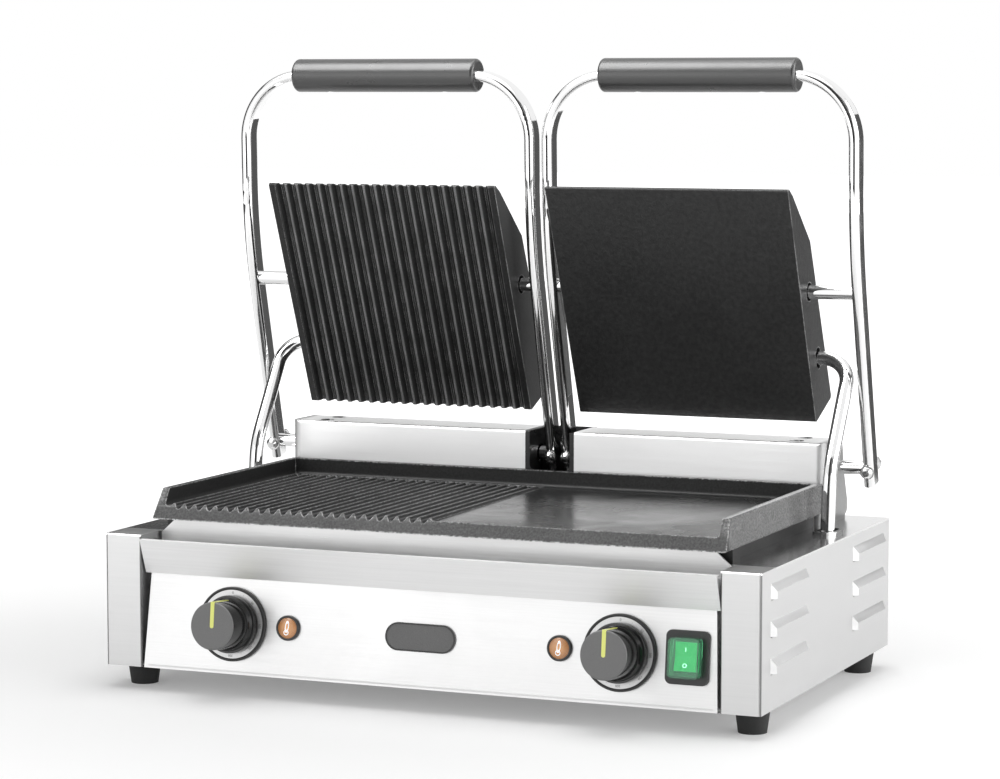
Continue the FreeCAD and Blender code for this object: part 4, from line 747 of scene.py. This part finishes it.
# Outline of a thermometer, its stem and its bulb: radius, stretch upwards and shift upwards.
THERMOMETER = ((1.35 * MM, 2.9, 1.2 * MM), (1.9 * MM, 1.0, -3.6 * MM))
OUTLINE_HALF = 0.36 * MM        # half the width of the outline
OUTLINE_FLATNESS = 0.5          # its height to its width
THERMOMETER_LEAN_RADIANS = -0.12

# Marks of the rocker: name, text and how far up it stands.
ROCKER_MARKS = (("switch_mark_on", "I", 6.2 * MM), ("switch_mark_off", "O", -6.0 * MM))
ROCKER_MARK_SIZE = 4.6 * MM


def glyph(text, size):
    """Flat mesh of a text, centred on its origin."""
    bpy.ops.object.select_all(action="DESELECT")
    bpy.ops.object.text_add()
    letters = bpy.context.object.data
    letters.body = text
    letters.size = size
    letters.align_x = "CENTER"
    letters.align_y = "CENTER"
    letters.extrude = INK_THICKNESS / 2
    bpy.ops.object.convert(target="MESH")
    return bpy.context.object


def joined(name, pieces, material, body):
    """Several marks made one piece that rides on a body."""
    bpy.ops.object.select_all(action="DESELECT")
    for piece in pieces:
        piece.select_set(True)
    bpy.context.view_layer.objects.active = pieces[0]
    if len(pieces) > 1:
        bpy.ops.object.join()
    whole = bpy.context.object
    whole.name = name
    whole.data.materials.clear()
    whole.data.materials.append(material)
    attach(whole, body)


def dial_marks(side_name, side):
    """Numbers from 0 to 300 round a dial, with a short line midway between each two."""
    marks = []
    for step in range(SCALE_MARKS):
        if step % 2:
            mark = glyph("I", LINE_SIZE)
        else:
            mark = glyph(str(step // 2 * NUMBER_STEP), NUMBER_SIZE)
        angle = math.radians(step * SCALE_STEP_DEGREES)
        place = surface_at("dials", side * KNOB_X + SCALE_RADIUS * math.sin(angle),
                           SCALE_RADIUS * math.cos(angle))
        mark.data.transform(place @ Matrix.Rotation(-angle, 4, "Z"))
        marks.append(mark)
    joined("dial_scale_" + side_name, marks, DARK_INK, "base")


def lamp_sign(side_name, side):
    """Generic heat sign on a lamp: the outline of a thermometer with its bulb."""
    rings = []
    for radius, stretch, shift in THERMOMETER:
        bpy.ops.object.select_all(action="DESELECT")
        bpy.ops.curve.primitive_bezier_circle_add(radius=radius)
        bpy.context.object.data.bevel_depth = OUTLINE_HALF
        bpy.ops.object.convert(target="MESH")
        ring = bpy.context.object
        ring.data.transform(Matrix.Translation((0, shift, 0))
                            @ Matrix.Diagonal((1, stretch, OUTLINE_FLATNESS, 1)))
        ring.data.transform(surface_at("lamp_lenses", side * LAMP_X, 0.0)
                            @ Matrix.Rotation(THERMOMETER_LEAN_RADIANS, 4, "Z"))
        rings.append(ring)
    joined("lamp_sign_" + side_name, rings, GLOWING_WHITE_INK, "base")


def switch_marks():
    """The I and O of the rocker."""
    for name, text, up in ROCKER_MARKS:
        mark = glyph(text, ROCKER_MARK_SIZE)
        mark.data.transform(surface_at("switch_rocker", SWITCH_X, up))
        joined(name, [mark], LIT_INK, "rocker")


# ---------------------------------------------------------------- studio
WHITE = grey(1.0)
AIM = Vector((0, 0, 0.2))       # the middle of the object, where lamps and cards look
HANGING_HEIGHT = 2.1            # cards above this look down, lower ones stand upright

FLOOR_SIZE = 30.0
FLOOR_TONE = 0.88
FLOOR_NEAR, FLOOR_FAR = 0.3, 2.0        # distances between which the floor turns white
GLOW_NEAR, GLOW_FAR = 0.16, 0.95        # its own light at these
FLOOR_MIRRORED = 0.8                    # share of that light that reflections see
AMBIENT = 0.45                          # light that the surroundings cast

CAMERA_AZIMUTH_DEGREES, CAMERA_ELEVATION_DEGREES = 23.08, 5.41
CAMERA_DISTANCE = 2.643
CAMERA_TARGET = Vector((0.0055, -0.0124, 0.2457))
CAMERA_SENSOR_MM, CAMERA_LENS_MM = 36.0, 114.5
CAMERA_FAR = 60.0               # how far the camera sees


def round_object(azimuth_degrees, distance, height):
    """Point at an azimuth from the front towards the right."""
    turn = math.radians(azimuth_degrees)
    return (distance * math.sin(turn), -distance * math.cos(turn), height)


# Large soft lamps: name, place, size and watts.
SOFTBOXES = (
    ("front_softbox", (-1.25, -2.9, 0.75), (2.2, 1.5), 10.5),
    ("right_softbox", (2.4, -0.2, 0.75), (2.8, 1.9), 32.0),
    ("top_softbox", (0.2, 0.1, 2.7), (2.2, 1.6), 24.0),
)
# Cards that only reflections see: name, place, size and strength.
CARDS = (
    ("camera_card", round_object(14, 3.2, 2.0), (2.3, 4.0), 0.05),
    ("left_card", round_object(-112, 1.9, 0.8), (2.8, 1.6), 0.08),
    ("right_card", round_object(141, 1.9, 0.8), (0.4, 1.6), 0.08),
    ("high_right_card", round_object(47, 2.6, 1.9), (0.9, 1.5), 0.12),
    ("rear_card", (0.45, 1.47, 0.38), (0.54, 0.76), 0.1),
    ("right_light_card", round_object(108, 2.0, 1.25), (1.0, 1.5), 5.0),
    ("overhead_card", (-0.95, -0.8, 2.3), (1.5, 1.7), 8.0),
)


def seen_directly(tree, mirrored=1.0):
    """1 for camera rays and through glass, mirrored for reflections, 0 for diffuse light."""
    path = add(tree, "LightPath")
    glossy = times(tree, path.outputs["Is Glossy Ray"], mirrored)
    seen = math_node(tree, "ADD", path.outputs["Is Camera Ray"], glossy)
    return math_node(tree, "ADD", seen, path.outputs["Is Transmission Ray"], clamp=True)


def staged_plane(name, size):
    """Plane on the origin, and the empty tree and output of its new material."""
    bpy.ops.object.select_all(action="DESELECT")
    bpy.ops.mesh.primitive_plane_add(size=size, location=(0, 0, 0))
    plane = bpy.context.object
    plane.name = name
    material = bpy.data.materials.new(name)
    material.use_nodes = True
    plane.data.materials.append(material)
    tree = material.node_tree
    tree.nodes.remove(tree.nodes["Principled BSDF"])
    return plane, tree, tree.nodes["Material Output"]


def add_floor():
    """Plain pale floor: keeps the object's shadow near it and turns white far away."""
    floor, tree, output = staged_plane("studio_floor", FLOOR_SIZE)
    distance = vector_node(tree, "LENGTH", place_on(tree), output="Value")
    lift = remap(tree, distance, FLOOR_NEAR, FLOOR_FAR, GLOW_NEAR, GLOW_FAR)
    glow = add(tree, "Emission", WHITE, times(tree, seen_directly(tree, FLOOR_MIRRORED), lift))
    matt = add(tree, "BsdfDiffuse", grey(FLOOR_TONE))
    both = add(tree, "AddShader", matt.outputs[0], glow.outputs[0])
    feed(tree, output, Surface=both.outputs[0])


def add_world():
    """Even white surroundings."""
    world = bpy.data.worlds.new("studio")
    bpy.context.scene.world = world
    world.use_nodes = True
    tree = world.node_tree
    feed(tree, tree.nodes["Background"], Color=WHITE,
         Strength=between(tree, seen_directly(tree), AMBIENT, 1.0))


def add_softbox(name, place, size, power):
    """Large soft lamp that looks at the middle of the object."""
    bpy.ops.object.light_add(type="AREA", location=place)
    lamp = bpy.context.object
    lamp.name = name
    lamp.data.shape = "RECTANGLE"
    lamp.data.size, lamp.data.size_y = size
    lamp.data.energy = power
    lamp.rotation_mode = "QUATERNION"
    lamp.rotation_quaternion = (AIM - Vector(place)).to_track_quat("-Z", "Y")
    lamp.visible_camera = False


def add_card(name, place, size, strength):
    """Card that draws a line in polished metal and that only reflections see."""
    card, tree, output = staged_plane(name, 1.0)
    centre = Vector(place)
    aim = AIM - centre
    if centre.z < HANGING_HEIGHT:
        aim.z = 0.0
    turn = aim.to_track_quat("-Z", "Y").to_matrix().to_4x4()
    card.data.transform(Matrix.Translation(centre) @ turn @ Matrix.Diagonal((*size, 1, 1)))
    feed(tree, output, Surface=add(tree, "Emission", WHITE, strength).outputs[0])
    card.visible_camera = False
    card.visible_diffuse = False
    card.visible_shadow = False
    card.visible_transmission = False


def add_camera():
    """Camera a little to the right of the front and just above the object."""
    azimuth = math.radians(CAMERA_AZIMUTH_DEGREES)
    elevation = math.radians(CAMERA_ELEVATION_DEGREES)
    back = Vector((math.sin(azimuth) * math.cos(elevation),
                   -math.cos(azimuth) * math.cos(elevation), math.sin(elevation)))
    bpy.ops.object.camera_add(location=CAMERA_TARGET + back * CAMERA_DISTANCE)
    camera = bpy.context.object
    camera.rotation_mode = "QUATERNION"
    camera.rotation_quaternion = (-back).to_track_quat("-Z", "Y")
    camera.data.sensor_width = CAMERA_SENSOR_MM
    camera.data.lens = CAMERA_LENS_MM
    camera.data.clip_end = CAMERA_FAR
    bpy.context.scene.camera = camera


finish_nodes()
for side_name, side in SIDES.items():
    dial_marks(side_name, side)
    lamp_sign(side_name, side)
switch_marks()
add_floor()
add_world()
for softbox in SOFTBOXES:
    add_softbox(*softbox)
for card in CARDS:
    add_card(*card)
add_camera()
bpy.context.scene.view_settings.view_transform = "Standard"
